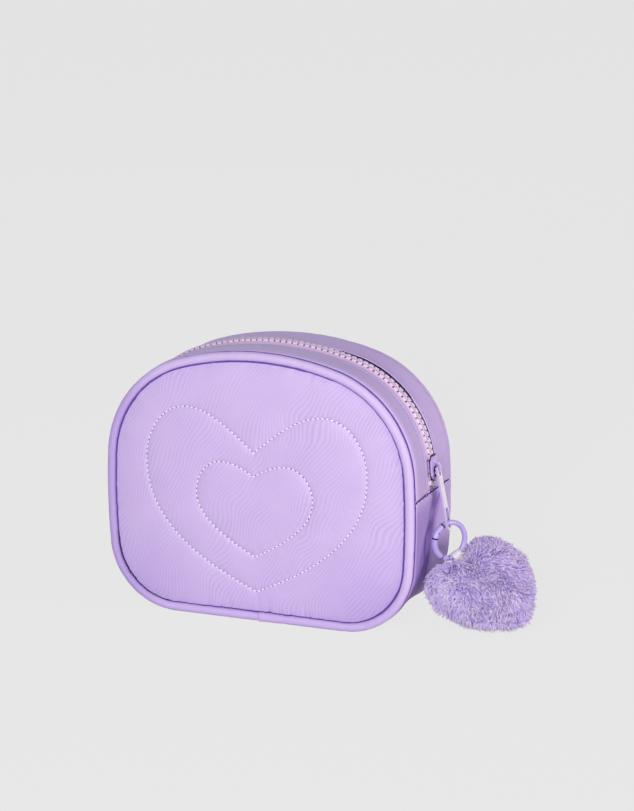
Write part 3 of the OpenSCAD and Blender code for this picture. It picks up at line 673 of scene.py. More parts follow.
def tube(piece: Piece, path: Sequence[Vector], radii: Sequence[float], sides: int) -> None:
    """Lays a round tube along a path, with closed ends.

    Args:
        piece: Receives the points and faces.
        path: Points in millimetres.
        radii: One radius for each point.
        sides: Sides of the tube.
    """
    count = len(path)
    verts = []
    side = Vector((0, 1, 0))
    for i, p in enumerate(path):
        ahead = (path[min(i + 1, count - 1)] - path[max(i - 1, 0)]).normalized()
        side = side - ahead * side.dot(ahead)
        side = side.normalized() if side.length > 1e-6 else ahead.orthogonal().normalized()
        up = ahead.cross(side)
        for k in range(sides):
            a = 2 * math.pi * k / sides
            verts.append(tuple(p + radii[i] * (math.cos(a) * side + math.sin(a) * up)))
    faces = grid_faces(count, sides, close_cols=True)
    faces += [tuple(range(sides)), tuple(range(len(verts) - sides, len(verts)))]
    piece.add(verts, faces)


def rounded_box(size: Sequence[float], radius: float, segments: int) -> tuple[list, Faces]:
    """A box with rounded edges.

    Args:
        size: Its three sides in millimetres.
        radius: Radius of its edges.
        segments: Steps round an edge.

    Returns:
        Points and faces.
    """
    shaped = bmesh.new()
    bmesh.ops.create_cube(shaped, size=1.0)
    bmesh.ops.scale(shaped, vec=Vector(size), verts=shaped.verts)
    bmesh.ops.bevel(shaped, geom=shaped.edges[:], offset=radius, segments=segments, profile=0.5,
                    affect="EDGES")
    shaped.verts.index_update()
    verts = [tuple(v.co) for v in shaped.verts]
    faces = [tuple(v.index for v in f.verts) for f in shaped.faces]
    shaped.free()
    return verts, faces


def wobble(x: float, y: float, z: float, size: float) -> float:
    """Soft noise from about -1 to 1 with features of the given size in millimetres."""
    return noise.noise(Vector((x, y, z)) / size)


# Hearts
# Control points of three curves from cleft to tip, as shares of a heart's half width and height
OUTER_SHARES = [(0, 0.78), (0.2, 0.887), (0.4, 1), (0.62, 1), (0.844, 1), (1, 0.85), (1, 0.688), (1, 0.387),
                (0.635, 0.183), (0, 0)]
INNER_SHARES = [(0, 0.873), (0.174, 0.931), (0.316, 1), (0.554, 1), (0.807, 1), (1, 0.838), (1, 0.661),
                (1, 0.38), (0.538, 0.193), (0, 0)]
CHARM_SHARES = [(0, 0.81), (0.1, 0.9), (0.26, 1), (0.54, 1), (0.8, 1), (1, 0.83), (1, 0.67), (1, 0.302),
                (0.15, 0), (0, 0)]


# Width, height and height of the tip above the base of each sewn heart
INNER_HEART = (66.5, 50.6, 36.6)
OUTER_HEART = (126, 98, 17)


def bezier(p: np.ndarray, t: float) -> np.ndarray:
    """Point of a cubic curve with four control points."""
    return (1 - t) ** 3 * p[0] + 3 * (1 - t) ** 2 * t * p[1] + 3 * (1 - t) * t * t * p[2] + t ** 3 * p[3]


def heart_curve(shares: Sequence[Point2], width: float, height: float, tip_z: float,
                steps: int = 24) -> np.ndarray:
    """Closed outline of a heart.

    Args:
        shares: Control points of its three curves.
        width: Full width in millimetres.
        height: Full height in millimetres.
        tip_z: Height of the tip.
        steps: Points on each curve.

    Returns:
        The points, from the cleft clockwise.
    """
    control = np.array(shares) * (width / 2, height)
    half = np.array([bezier(control[k:k + 4], i / steps) for k in (0, 3, 6) for i in range(steps)])
    mirrored = half[1:][::-1] * (-1, 1)
    return np.vstack([half, [[0, 0]], mirrored]) + (0, tip_z)


def even_points(curve: np.ndarray, pitch: float) -> tuple[np.ndarray, np.ndarray]:
    """Points an even distance apart along a closed curve.

    Args:
        curve: The curve's points.
        pitch: Wanted distance; it is rounded to fit the length.

    Returns:
        The points and the directions of the curve there.
    """
    closed = np.vstack([curve, curve[:1]])
    gaps = np.linalg.norm(np.diff(closed, axis=0), axis=1)
    along = np.concatenate([[0], np.cumsum(gaps)])
    count = round(along[-1] / pitch)
    where = np.arange(count) * along[-1] / count
    points = np.stack([np.interp(where, along, closed[:, k]) for k in (0, 1)], axis=1)
    ahead = np.stack([np.interp((where + 0.3) % along[-1], along, closed[:, k]) for k in (0, 1)], axis=1)
    way = ahead - points
    return points, way / np.linalg.norm(way, axis=1, keepdims=True)


def distance_to(curve: np.ndarray, points: np.ndarray) -> tuple[np.ndarray, np.ndarray]:
    """Distance from each point to a closed curve, and the length along it of the nearest place."""
    a, b = curve, np.roll(curve, -1, axis=0)
    edge = b - a
    size = np.maximum((edge ** 2).sum(1), 1e-9)
    along = np.concatenate([[0], np.cumsum(np.sqrt(size))[:-1]])
    t = np.clip(((points[:, None, :] - a) * edge).sum(2) / size, 0, 1)
    gap = np.linalg.norm(points[:, None, :] - (a + t[..., None] * edge), axis=2)
    best = gap.argmin(1)
    rows = np.arange(len(points))
    return gap[rows, best], along[best] + t[rows, best] * np.sqrt(size[best])


def reach_to(curve: np.ndarray, centre: np.ndarray, angle: float) -> float:
    """Furthest distance from a centre to a closed curve in one direction."""
    way = np.array([math.cos(angle), math.sin(angle)])
    p = curve - centre
    e = np.roll(curve, -1, axis=0) - curve
    den = way[0] * e[:, 1] - way[1] * e[:, 0]
    den = np.where(np.abs(den) < 1e-12, 1e-12, den)
    t = (p[:, 0] * e[:, 1] - p[:, 1] * e[:, 0]) / den
    u = (p[:, 0] * way[1] - p[:, 1] * way[0]) / den
    hits = t[(u >= 0) & (u <= 1) & (t > 0)]
    return float(hits.max())


# Padded panels
@dataclass
class PaddedPanel:
    """Front or back panel: satin over wadding, sewn into the seam all round."""

    name: str
    side: Side
    crown: float
    sewn: bool
    finish: Finish
    slot: str
    seed: int
    nodes: tuple[str, str]
    rays: int = 420
    back_depth: float = 3.2
    edge_inset: float = 4.0
    edge_lift: float = 1.7
    centre: Point2 = (0.0, 64.4)
    stitch_pitch: float = 2.65
    # Each of these is a height or depth and how far it reaches from its line, or its size
    seam_pull: Point2 = (1.1, 4.5)
    seam_pucker: Point2 = (0.12, 4.5)
    channel: Point2 = (0.85, 0.9)
    valley: Point2 = (0.4, 6.5)
    gather: Point2 = (0.07, 5.0)
    uneven: Point2 = (0.22, 26.0)

    def __post_init__(self) -> None:
        """Lays out the seam, the sewn hearts and the short creases that run in from the seam."""
        self.seam = np.array([BAG.point(s, self.edge_inset) for s in BAG.loop(2.0)])
        self.hearts = [heart_curve(INNER_SHARES, *INNER_HEART), heart_curve(OUTER_SHARES, *OUTER_HEART)]
        self.rng = random.Random(self.seed)
        spots = [self.rng.uniform(0, 2 * BAG.half) for _ in range(26)]
        # More of them lie along the base, from its right half to just past its middle
        spots += [self.rng.uniform(BAG.half - 60, BAG.half + 30) for _ in range(16)]
        # Place, width, length and depth of each crease
        self.creases = [(s, self.rng.uniform(0.7, 1.6), self.rng.uniform(3, 9), self.rng.uniform(0.15, 0.5))
                        for s in spots]
        # The deepest ones lie at these distances to the right of the middle of the base, with these lengths
        self.creases += [(BAG.half - x, 0.7, length, 0.75)
                         for x, length in ((20, 4), (32, 3), (43, 5), (-9, 3))]

    def bulge(self, flat: np.ndarray) -> np.ndarray:
        """Height of the satin in front of the seam plane.

        Args:
            flat: Points of the panel as x and z.

        Returns:
            One height for each point, in millimetres.
        """
        centre = np.array(self.centre)
        offset = flat - centre
        angle = np.arctan2(offset[:, 1], offset[:, 0])
        table_a = np.linspace(-math.pi, math.pi, 361)
        table_r = [reach_to(self.seam, centre, a) for a in table_a]
        edge = np.interp(angle, table_a, table_r)
        share = np.clip(np.linalg.norm(offset, axis=1) / edge, 0, 1)
        gap, along = distance_to(self.seam, flat)
        height = self.edge_lift * (1 - np.exp(-gap / 0.5))
        height += (self.crown - self.edge_lift) * (1 - share ** 2.8)
        depth, reach = self.seam_pull
        height -= depth * np.exp(-gap / reach)
        seam_length = 2 * BAG.half
        for s, width, length, depth in self.creases:
            apart = np.abs((along - s + seam_length / 2) % seam_length - seam_length / 2)
            height -= depth * np.exp(-(apart / width) ** 2 - (gap / length) ** 2)
        depth, reach = self.seam_pucker
        height += depth * np.sin(along / 1.3) * np.exp(-(gap / reach) ** 2)
        for curve in self.hearts if self.sewn else ():
            height += self.sewn_in(*distance_to(curve, flat))
        depth, size = self.uneven
        return height + depth * np.array([wobble(x, 0, z, size) for x, z in flat])

    def sewn_in(self, gap: np.ndarray, along: np.ndarray) -> np.ndarray:
        """Height that a sewn line adds, which is below zero at the line.

        Args:
            gap: Distance from the line.
            along: Length along it.

        Returns:
            One height for each point.
        """
        groove = self.channel[0] * np.exp(-gap / self.channel[1])
        groove += self.valley[0] * np.exp(-(gap / self.valley[1]) ** 2)
        pulls = np.sin(along * math.pi / self.stitch_pitch + 2 * np.sin(along / 9))
        return self.gather[0] * pulls * np.exp(-(gap / self.gather[1]) ** 2) - groove

    def surface_y(self, flat: np.ndarray) -> np.ndarray:
        """Depth coordinate of the satin at each flat point."""
        return self.side * (SEAM_Y + self.bulge(flat))

    def stops(self, angle: float) -> list[float]:
        """Distances from the centre at which one ray has its points, closer together at the sewn lines."""
        centre = np.array(self.centre)
        edge = reach_to(self.seam, centre, angle)
        rim = [edge - 2 + 0.2 * k for k in range(11)]
        if not self.sewn:
            return [1.0 + (edge - 3.0) * k / 30 for k in range(30)] + rim
        h1, h2 = (reach_to(curve, centre, angle) for curve in self.hearts)
        return self.spread(1.0, h1, 14) + self.spread(h1, h2, 20) + self.spread(h2, edge - 2, 18) + rim

    def build(self) -> bpy.types.Object:
        """Builds the padded panel and returns it."""
        centre = np.array(self.centre)
        flat = []
        for i in range(self.rays):
            angle = math.pi / 2 - 2 * math.pi * i / self.rays
            way = np.array([math.cos(angle), math.sin(angle)])
            flat.extend(centre + r * way for r in self.stops(angle))
        rings = len(flat) // self.rays
        flat = np.array(flat)
        y = self.surface_y(flat)
        verts = [(x, yy, z) for (x, z), yy in zip(flat, y)]
        faces = grid_faces(self.rays, rings, close_rows=True)
        middle = len(verts)
        verts.append((self.centre[0], float(np.mean(y[::rings])), self.centre[1]))
        faces += [(i * rings, (i + 1) % self.rays * rings, middle) for i in range(self.rays)]
        # The back of the wadding: the rim turns in and a flat face closes it
        back = len(verts)
        back_y = self.side * (SEAM_Y - self.back_depth)
        verts += [(x, back_y, z) for x, z in flat[rings - 1::rings]]
        verts.append((self.centre[0], back_y, self.centre[1]))
        for i in range(self.rays):
            j = (i + 1) % self.rays
            faces.append((i * rings + rings - 1, j * rings + rings - 1, back + j, back + i))
            faces.append((back + i, back + j, back + self.rays))
        piece = Piece(self.name)
        piece.add(verts, faces)
        gap, _ = distance_to(self.seam, flat)
        piece.attribute = self.shades(flat, gap) + [0.0] * (len(verts) - len(flat))
        self.draw_seam(piece, flat, y, gap)
        made = piece.build([self.finish, PAINTED_SEAM_SHADE, PAINTED_DEEP_SHADE], "bag", self.slot, self.nodes)
        return made

    def shades(self, flat: np.ndarray, gap: np.ndarray) -> list[float]:
        """Painted shade on the satin: deeper along the seam and in both lower corners.

        Args:
            flat: Points of the panel as x and z.
            gap: Distance of each from the seam.

        Returns:
            One share for each point.
        """
        low = [smooth_step((58 - z) / 45) * smooth_step((abs(x) - 25) / 45) * (0.2 if x > 0 else 0.12)
               for x, z in flat]
        return [float(v) for v in 0.14 * np.exp(-gap / 3.5) + np.array(low)]

    def draw_seam(self, piece: Piece, flat: np.ndarray, y: np.ndarray, gap: np.ndarray) -> None:
        """Gives the faces that lie in the seam beside the piping a painted seam shade.

        Args:
            piece: The panel, whose first faces run along the rays.
            flat: Points of the panel as x and z.
            y: Depth coordinate of each.
            gap: Distance of each from the seam.
        """
        rings = len(flat) // self.rays
        roll = np.sqrt(np.maximum(0, PIPING_R ** 2 - (gap + self.edge_inset - PIPING_R) ** 2))
        proud = y * self.side - SEAM_Y - roll
        for i in range(self.rays):
            row = slice(i * rings, (i + 1) * rings)
            clear = gap[row][proud[row] > 0].min()
            x, z = flat[i * rings + rings - 1]
            left, below = smooth_step((-40 - x) / 45), smooth_step((50 - z) / 30)
            closed = smooth_step((x - 20) / 30) * smooth_step((z - 85) / 20)
            # Painted seam shade: widest where the seam opens on the left and below, narrowest where the top
            # turns down to the right, and deepest at the lower left
            width = 0.46 + 0.45 * left + 0.15 * below - 0.3 * closed
            for k in range(rings - 1):
                if gap[i * rings + k + 1] < clear + width and gap[i * rings + k] < 3:
                    piece.tones[i * (rings - 1) + k] = 2 if left * below > 0.2 else 1

    @staticmethod
    def spread(r0: float, r1: float, count: int) -> list[float]:
        """Radii from r0 up to r1, closer together at both ends, without r1."""
        return [r0 + (r1 - r0) * (0.5 - 0.5 * math.cos(math.pi * k / count)) for k in range(count)]

    def stitches(self) -> None:
        """Sews both hearts: pale thread dashes with a dot of painted deep shade at the needle hole between
        each pair.
        """
        thread, hole_shade = Piece("heart_stitches"), Piece("heart_needle_hole_shade")
        for curve in self.hearts:
            points, ways = even_points(curve, self.stitch_pitch)
            half = self.stitch_pitch * 0.31
            for (x, z), (wx, wz) in zip(points, ways):
                slant = self.rng.uniform(-0.06, 0.06)
                ends = np.array([[x + wx * t * half - wz * slant * t, z + wz * t * half + wx * slant * t]
                                 for t in (-1, -0.6, 0, 0.6, 1)])
                y = self.surface_y(ends) + self.side * np.array([-0.2, 0.16, 0.36, 0.16, -0.2])
                path = [Vector((px, py, pz)) for (px, pz), py in zip(ends, y)]
                tube(thread, path, (0.2, 0.33, 0.36, 0.33, 0.2), 6)
                # A dot of painted deep shade at the needle hole between two dashes
                spot = np.array([[x + wx * self.stitch_pitch / 2, z + wz * self.stitch_pitch / 2]])
                deep = float(self.surface_y(spot)[0])
                path = [Vector((spot[0][0], deep + self.side * t, spot[0][1])) for t in (-0.5, 0.03, 0.1)]
                tube(hole_shade, path, (0.56, 0.56, 0.4), 8)
        thread.build([THREAD], "bag", self.slot)
        hole_shade.build([PAINTED_DEEP_SHADE], "bag", self.slot)


# Seams and gusset
@dataclass
class Piping:
    """Bias-cut roll sewn between a panel and the gusset, with the ends lapped under the base."""

    name: str
    side: Side
    nodes: tuple[str, str]
    sunk: float = 0.0
    radius: float = PIPING_R
    sides: int = 16
    lap: float = BAG.half - 0.6
    # The roll is a touch flatter across the seam than along it
    flatness: float = 0.96

    def build(self) -> bpy.types.Object:
        """Builds the roll and returns it."""
        rng = random.Random(self.side + 5)
        # Place, width and depth of each pull of the seam
        pulls = [(rng.uniform(0, 2 * BAG.half), rng.uniform(0.8, 2.0), rng.uniform(0.06, 0.16))
                 for _ in range(70)]

        def profile(s: float) -> list[Point2]:
            """Section of the roll, squeezed a little where the seam pulls and thicker at the lap."""
            squeeze = sum(d * math.exp(-((s - p) / w) ** 2) for p, w, d in pulls if abs(s - p) < 8)
            over = s - self.lap
            lapped = 0.34 * math.exp(over / 9) if over <= 0 else -0.16 * math.exp(-over / 5)
            x, z = BAG.point(s, 0)
            points = []
            for k in range(self.sides):
                a = 2 * math.pi * k / self.sides
                r = self.radius * (1 - 0.35 * squeeze + 0.02 * wobble(x, 9 * k, z, 14)) + lapped
                points.append((self.side * (SEAM_Y + self.flatness * r * math.sin(a)),
                               self.sunk + self.radius - r * math.cos(a)))
            return points

        piece = Piece(self.name)
        sweep(piece, sorted(BAG.loop(1.6) + [self.lap - 0.05, self.lap + 0.25]), profile, closed=True)
        # Painted shade on the left and below, where the roll faces away from the light
        piece.attribute = [0.3 * smooth_step((-x - 50) / 30) + 0.12 * smooth_step((45 - z) / 40)
                           for x, _, z in piece.verts]
        return piece.build([PIPING_SATIN], "bag", "satin", self.nodes)


@dataclass
class Gusset:
    """Lower gusset with its lining, pulled in by a soft fold on each side."""

    columns: int = 49
    thickness: float = 2.1
    fold_z: float = 36.0
    fold_half: float = 33.0
    fold_depth: float = 5.4
    crease_y: float = 12.0
    # Depth coordinate and height of the pinch's middle, its half width and half height, and its depth
    pinch_at: Point2 = (9.4, 66.0)
    pinch_half: Point2 = (1.5, 6.5)
    pinch_depth: float = 1.6

    def satin_shade(self, s: float, y: float) -> float:
        """Depth of the side fold at a place on the gusset."""
        x, z = BAG.point(s, 0)
        if BAG.bottom_end < s < 2 * BAG.half - BAG.bottom_end:
            return 0.0
        pinch = self.pinch_depth * self.pinch(x, y, z)
        u = (z - self.fold_z) / self.fold_half
        if abs(u) >= 1:
            return pinch
        middle = self.crease_y - 0.05 * abs(z - self.fold_z)
        half = GUSSET_Y - 1.5
        v = abs(y - middle) / (half - middle if y > middle else half + middle)
        across = max(0.0, 1 - v) ** 1.1
        crease = 0.9 * math.exp(-abs(y - middle) / 1.2)
        return (1 - u * u) ** 1.2 * (self.fold_depth * across + crease) + pinch

    def shade(self, s: float, y: float) -> float:
        """Painted shade on the satin in the hollow in front of the crease, which turns away from the light,
        and in the pinch.
        """
        x, z = BAG.point(s, 0)
        if s > BAG.bottom_end:
            return 0.0
        across = smooth_step((y + 21 - 0.6 * (z - 36)) / 8)
        behind = math.exp(-max(0.0, y - self.crease_y) / 1.3)
        fall = smooth_step((74 - z) / 32) * smooth_step((z - 4) / 14)
        near = 0.34 * smooth_step((74 - z) / 10) * smooth_step((z - 4) / 14)
        far = 0.12 * (1 - behind) * math.exp(-max(0.0, y - self.crease_y) / 9) * fall
        return min(1.0, (0.34 * across * fall + near) * behind + far + 0.8 * self.pinch(x, y, z))

    def pinch(self, x: float, y: float, z: float) -> float:
        """Share of the short pinch that hangs from the seam behind the end of the zip with the slider."""
        if x < 0:
            return 0.0
        up = z - self.pinch_at[1]
        across = y - self.pinch_at[0] - 0.33 * up
        return math.exp(-(across / self.pinch_half[0]) ** 2 - (up / self.pinch_half[1]) ** 2)

    def inset(self, s: float, y: float) -> float:
        """Depth of the outer face below the outline."""
        x, z = BAG.point(s, 0)
        edge = GUSSET_Y - abs(y)
        dip = 1.3 * math.exp(-edge / 0.45) - 0.3 * math.exp(-((edge - 1.5) / 0.8) ** 2)
        seam = min(s - SEAM_S, 2 * BAG.half - SEAM_S - s)
        dip += 0.9 * math.exp(-max(seam, 0) / 0.7) - 0.25 * math.exp(-((seam - 2.2) / 1.2) ** 2)
        dip += 0.16 * wobble(x, y * 1.6, z, 9) * min(1.0, edge / 6)
        flat = smooth_step((abs(x) - 40) / 12) if z < 2 else 1.0
        return max(dip * flat, 0.0) + self.satin_shade(s, y) if flat < 1 else dip + self.satin_shade(s, y)

    def build(self) -> bpy.types.Object:
        """Builds outer satin and lining as one sewn strip and returns it."""
        start, end = SEAM_S + 0.1, 2 * BAG.half - SEAM_S - 0.1
        count = round((end - start) / 2.0)
        lengths = [start + (end - start) * i / count for i in range(count + 1)]
        lengths[1:1] = [start + 0.5, start + 0.9, start + 1.5]
        lengths[-1:-1] = [end - 1.5, end - 0.9, end - 0.5]
        # Places across the strip, closer together at both seams
        shares = [2 * j / (self.columns - 1) - 1 for j in range(self.columns)]
        ys = [GUSSET_Y * math.sin(math.pi / 2 * t) * 0.55 + GUSSET_Y * 0.45 * t for t in shares]
        piece = Piece("gusset")
        for tone, extra in ((0, 0.0), (1, self.thickness)):
            verts = []
            for s in lengths:
                for y in ys:
                    x, z = BAG.point(puckered(s, y), self.inset(s, y) + extra)
                    verts.append((x, y, z))
                    piece.attribute.append(0.0 if extra else self.shade(s, y))
            piece.add(verts, grid_faces(len(lengths), self.columns), tone)
        # Painted shade in the outer satin's seams: deepest at its ends, less along its sides
        cells = self.columns - 1
        for i in range((len(lengths) - 1) * cells):
            if i // cells in (0, len(lengths) - 2):
                piece.tones[i] = 3
            elif i % cells in (0, cells - 1):
                piece.tones[i] = 2
        rim = rim_faces(len(lengths), self.columns)
        piece.faces += rim
        piece.tones += [0] * len(rim)
        return piece.build([GUSSET_SATIN, PLAIN_LINING, PAINTED_SEAM_SHADE, PAINTED_DEEP_SHADE], "bag", "satin_side",
                           ("base_gusset", "gusset_lining"))


# Zip
@dataclass
class Zip:
    """Strips, tapes, moulded teeth, stops and slider of the curved zip."""

    pitch: float = 3.4
    tape_edge: float = 2.4
    parted: float = 1.1
    # Height of the chain, and how far it rises more on top: by what, where and over which half length
    raised: float = 0.55
    crowned: tuple[float, float, float] = (1.2, -14.0, 52.0)
    # The same for the rear strip's fold
    fold_raised: float = 0.12
    fold_crowned: tuple[float, float, float] = (1.1, 56.0, 36.0)
    # Distance from the zip's middle to each strip's folded edge
    front_edge: float = 6.4
    rear_edge: float = 4.9
    # Columns of the strip's section on the inner face of its fold, and where along the zip they take painted
    # deep shade
    fold_columns: tuple[int, int] = (18, 21)
    fold_span: Point2 = (57.0, 23.0)
    topstitch_pitch: float = 2.7
    # Height, width and length, edge radius, steps round it and distance across of a grip, waist and head
    tooth_parts: tuple = (((3.0, 1.9, 3.16), 0.78, 3, 2.05), ((2.2, 1.6, 1.3), 0.3, 2, 0.75),
                          ((2.7, 1.5, 1.66), 0.5, 3, -0.2))

    def lift(self, s: float) -> float:
        """How far the chain stands above its level place: most on top of the bag."""
        return self.raised + hump(s, *self.crowned)

    def rise(self, side: Side, s: float) -> float:
        """How far a strip's fold stands up: the rear one lifts between the crown and the slider."""
        return 0.0 if side is Side.FRONT else self.fold_raised + hump(s, *self.fold_crowned)

    def fold_edge(self, side: Side) -> float:
        """Distance from the zip's middle to a strip's folded edge."""
        return self.front_edge if side is Side.FRONT else self.rear_edge

    def parting(self, s: float) -> float:
        """How far each row is pushed from the middle below the slider."""
        return self.parted * smooth_step((s - SLIDER_S) / 1.4)

    @property
    def lengths(self) -> list[float]:
        """Lengths along the zip from seam to seam."""
        end = SEAM_S - 0.1
        count = round(2 * end / 1.7)
        marks = [-end + 2 * end * i / count for i in range(count + 1)]
        marks[1:1] = [-end + 0.3, -end + 0.9]
        marks[-1:-1] = [end - 0.9, end - 0.3]
        return marks

    def strip(self, side: Side) -> None:
        """Satin strip from the piping to its folded edge beside the teeth."""
        name = side.name.lower()
        edge = self.fold_edge(side)
        low = 0.5 if side is Side.FRONT else 0.25

        def profile(s: float) -> list[Point2]:
            """Section of the strip: outer face, fold and underside, as distance across and depth."""
            seam = SEAM_S - abs(s)
            x, z = BAG.point(s, 0)
            sink = 0.9 * math.exp(-max(seam, 0) / 0.7) - 0.22 * math.exp(-((seam - 2.2) / 1.2) ** 2)
            rise = self.rise(side, s) * smooth_step(seam / 14)
            outer = [(27.2, 2.1), (26.85, 1.2), (26.25, 0.38), (25.8, 0.08), (25.1, -0.18), (24.1, -0.36),
                     (22.4, -0.3), (19.5, -0.1), (16.5, 0.1 + 0.3 * low), (13.5, 0.12 + 0.5 * low),
                     (edge + 5.2, 0.1 + 0.7 * low), (edge + 3.6, 0.12 + 0.8 * low),
                     (edge + 3.1, 0.28 + 0.8 * low), (edge + 2.7, 0.36 + 0.8 * low),
                     (edge + 2.3, 0.24 + 0.8 * low), (edge + 1.6, 0.8 * low - 0.5 * rise),
                     (edge + 0.9, low - 0.08 - 0.9 * rise), (edge + 0.35, low + 0.05 - rise),
                     (edge + 0.05, low + 0.25 - 0.9 * rise), (edge + 0.1, low + 0.42 - 0.7 * rise),
                     (edge + 0.7, low + 0.6 - 0.5 * rise)]
            under = [(edge + 2.2, 1.2 - 0.2 * rise), (edge + 4.0, 1.25), (17.0, 1.25), (GUSSET_Y, 1.7)]
            points = []
            for y, d in outer:
                swell = 0.14 * wobble(x, 3 * y, z, 11) * min(1, (GUSSET_Y - y) / 5)
                points.append((side * y, d + sink + swell))
            return points + [(side * y, d + 0.5 * max(sink, 0)) for y, d in under]

        piece = Piece(f"{name}_zip_strip")
        # The seam columns take painted seam shade, and both ends take painted deep shade
        sweep(piece, self.lengths, profile, closed=False, dark_columns=(0, 1), dark_ends=True)
        if side is Side.REAR:
            # Where the rear fold lifts, its inner face takes painted deep shade
            columns = len(piece.verts) // len(self.lengths)
            first, last = self.fold_columns
            for row, s in enumerate(self.lengths[:-1]):
                if abs(s - self.fold_span[0]) < self.fold_span[1]:
                    piece.tones[row * columns + first:row * columns + last] = [2] * (last - first)
        piece.build([SIDE_SATIN, PAINTED_SEAM_SHADE, PAINTED_DEEP_SHADE], "bag", "satin_side", (f"zip_strip_{name}",))
        self.topstitch(side)

    def topstitch(self, side: Side) -> None:
        """Row of stitches along a strip's folded edge."""
        piece = Piece(f"{side.name.lower()}_topstitch")
        reach = SEAM_S - 3
        sunk = 0.76 if side is Side.FRONT else 0.56
        for i in range(round(2 * reach / self.topstitch_pitch)):
            s = -reach + self.topstitch_pitch * i
            path = []
            for t, d in ((-0.9, 0.3), (-0.5, 0.03), (0, -0.05), (0.5, 0.03), (0.9, 0.3)):
                x, z = BAG.point(s + t, sunk + d)
                path.append(Vector((x, side * (self.fold_edge(side) + 2.7), z)))
            tube(piece, path, (0.14, 0.2, 0.22, 0.2, 0.14), 5)
        piece.build([SIDE_SATIN], "bag", "satin_side")

    def tape(self, side: Side) -> None:
        """Woven tape with its corded edge, drawn back below the slider."""
        name = side.name.lower()

        def profile(s: float) -> list[Point2]:
            """Section of the tape with a bead that the teeth grip."""
            y0 = self.tape_edge + self.parting(s)
            mid = TAPE_MID - self.lift(s)
            bead = [(y0 + 0.35 - 0.35 * math.cos(a), mid - 0.5 * math.sin(a))
                    for a in map(math.radians, (-90, -50, 0, 50, 90))]
            flat = [(y0 + 1.0, mid - 0.38), (y0 + 3.4, 1.38), (15.4, 1.42), (15.4, 2.15), (y0 + 3.4, 2.1),
                    (y0 + 1.0, mid + 0.38)]
            return [(side * y, d) for y, d in bead + flat]

        piece = Piece(f"{name}_zip_tape")
        sweep(piece, self.lengths, profile, closed=False)
        piece.build([TWILL_TAPE], "bag", "zip_tape", (f"zip_tape_{name}",))

    def teeth(self, side: Side) -> None:
        """One row of moulded teeth, each a grip, a waist and a rounded head."""
        name = side.name.lower()
        boxes = [(rounded_box(size, radius, steps), across)
                 for size, radius, steps, across in self.tooth_parts]
        count = math.floor(2 * (SEAM_S - 2.2) / self.pitch)
        start = -(2 * count - 1) * self.pitch / 4 + (self.pitch / 2 if side is Side.REAR else 0)
        piece, dots = Piece(f"{name}_teeth"), Piece(f"{name}_tooth_gaps")
        for i in range(count):
            s = start + i * self.pitch
            place = BAG.frame(s, TAPE_MID - self.lift(s))
            shift = self.parting(s)
            for (verts, faces), across in boxes:
                moved = Matrix.Translation((0, side * (across + shift), 0))
                piece.add(verts, faces, 0, place @ moved)
            # Painted shade between two grips, where the tape's cord lies in shadow, most towards the slider
            between = BAG.frame(s + self.pitch / 2, TAPE_MID - self.lift(s + self.pitch / 2))
            path = [between @ Vector((0.72, side * (y + shift), 0)) for y in (1.6, 3.02, 3.1)]
            opened = smooth_step((s + 10 if side is Side.FRONT else s - 24) / 14)
            r = 0.26 + 0.22 * opened * (1 - smooth_step((s - 84) / 14))
            tube(dots, path, (r, r, 0.6 * r), 8)
        piece.build([ACETAL], "bag", "zip_teeth", (f"zip_teeth_{name}",))
        dots.build([CORD_SHADOW if side is Side.FRONT else PAINTED_DEEP_SHADE], "bag", "zip_tape")

    def build(self) -> None:
        """Builds both sides of the zip and its slider."""
        for side in Side:
            self.strip(side)
            self.tape(side)
            self.teeth(side)
        softened("zip_slider", "slider_body", 0.28, "slider", CAST_ENAMEL)
        pull = softened("pull_tab", "flat_pull", 0.22, "pull", GLOSS_ENAMEL)
        # The pull's two broad faces take the painted reflection, brighter than its rim
        pull.data.materials.append(ENAMEL_WITH_PAINTED_REFLECTION.material())
        broad = max(pull.data.polygons, key=lambda p: p.area).normal.copy()
        for face in pull.data.polygons:
            face.material_index = int(abs(face.normal.dot(broad)) > 0.96)
        self.slider_gap_shade()
        self.end_patches()

    def slider_gap_shade(self) -> None:
        """Painted shade: a dark plate for the slot that the slider's upper plate leaves all round, over the
        strips' folded edges.
        """
        half_w, half_l, corner = 5.5, 6.55, 2.3
        right = [(half_w - corner, -half_l), (half_w, corner - half_l), (half_w, half_l - corner),
                 (half_w - corner, half_l)]
        outline = right + [(-y, z) for y, z in reversed(right)]
        n = len(outline)
        place = BAG.frame(SLIDER_S, 0)
        piece = Piece("slider_gap_shade")
        verts = [(h, y, z) for h in (0.15, 0.5) for y, z in outline]
        faces = [tuple(range(n)), tuple(range(n, 2 * n))]
        faces += [(i, (i + 1) % n, n + (i + 1) % n, n + i) for i in range(n)]
        piece.add(verts, faces, 0, place)
        # Painted shade in the recess of the upper plate under the bridge
        verts, faces = rounded_box((0.1, 3.4, 5.4), 0.04, 1)
        piece.add(verts, faces, 0, place @ Matrix.Translation((PLATE_TOP + 0.04, -0.3, -2.4)))
        piece.build([PAINTED_GAP_SHADE], "slider", "enamel", sharp_deg=30)

    def end_patches(self) -> None:
        """Crossed ends of the tapes, which close the opening past the last tooth."""
        piece = Piece("zip_end_patches")
        end = SEAM_S - 0.1
        for lengths, w in (((-end, -end + 1.0, -end + 2.2), 3.4), ((end - 2.4, end - 1.2, end), 4.6)):
            section = [(-w, 1.35), (0.0, 1.25), (w, 1.35), (w, 1.95), (0.0, 1.9), (-w, 1.95)]
            verts = [(BAG.point(s, d)[0], y, BAG.point(s, d)[1]) for s in lengths for y, d in section]
            faces = grid_faces(3, 6, close_cols=True) + [tuple(range(6)), tuple(range(12, 18))]
            piece.add(verts, faces)
        piece.build([TWILL_TAPE], "bag", "zip_tape")


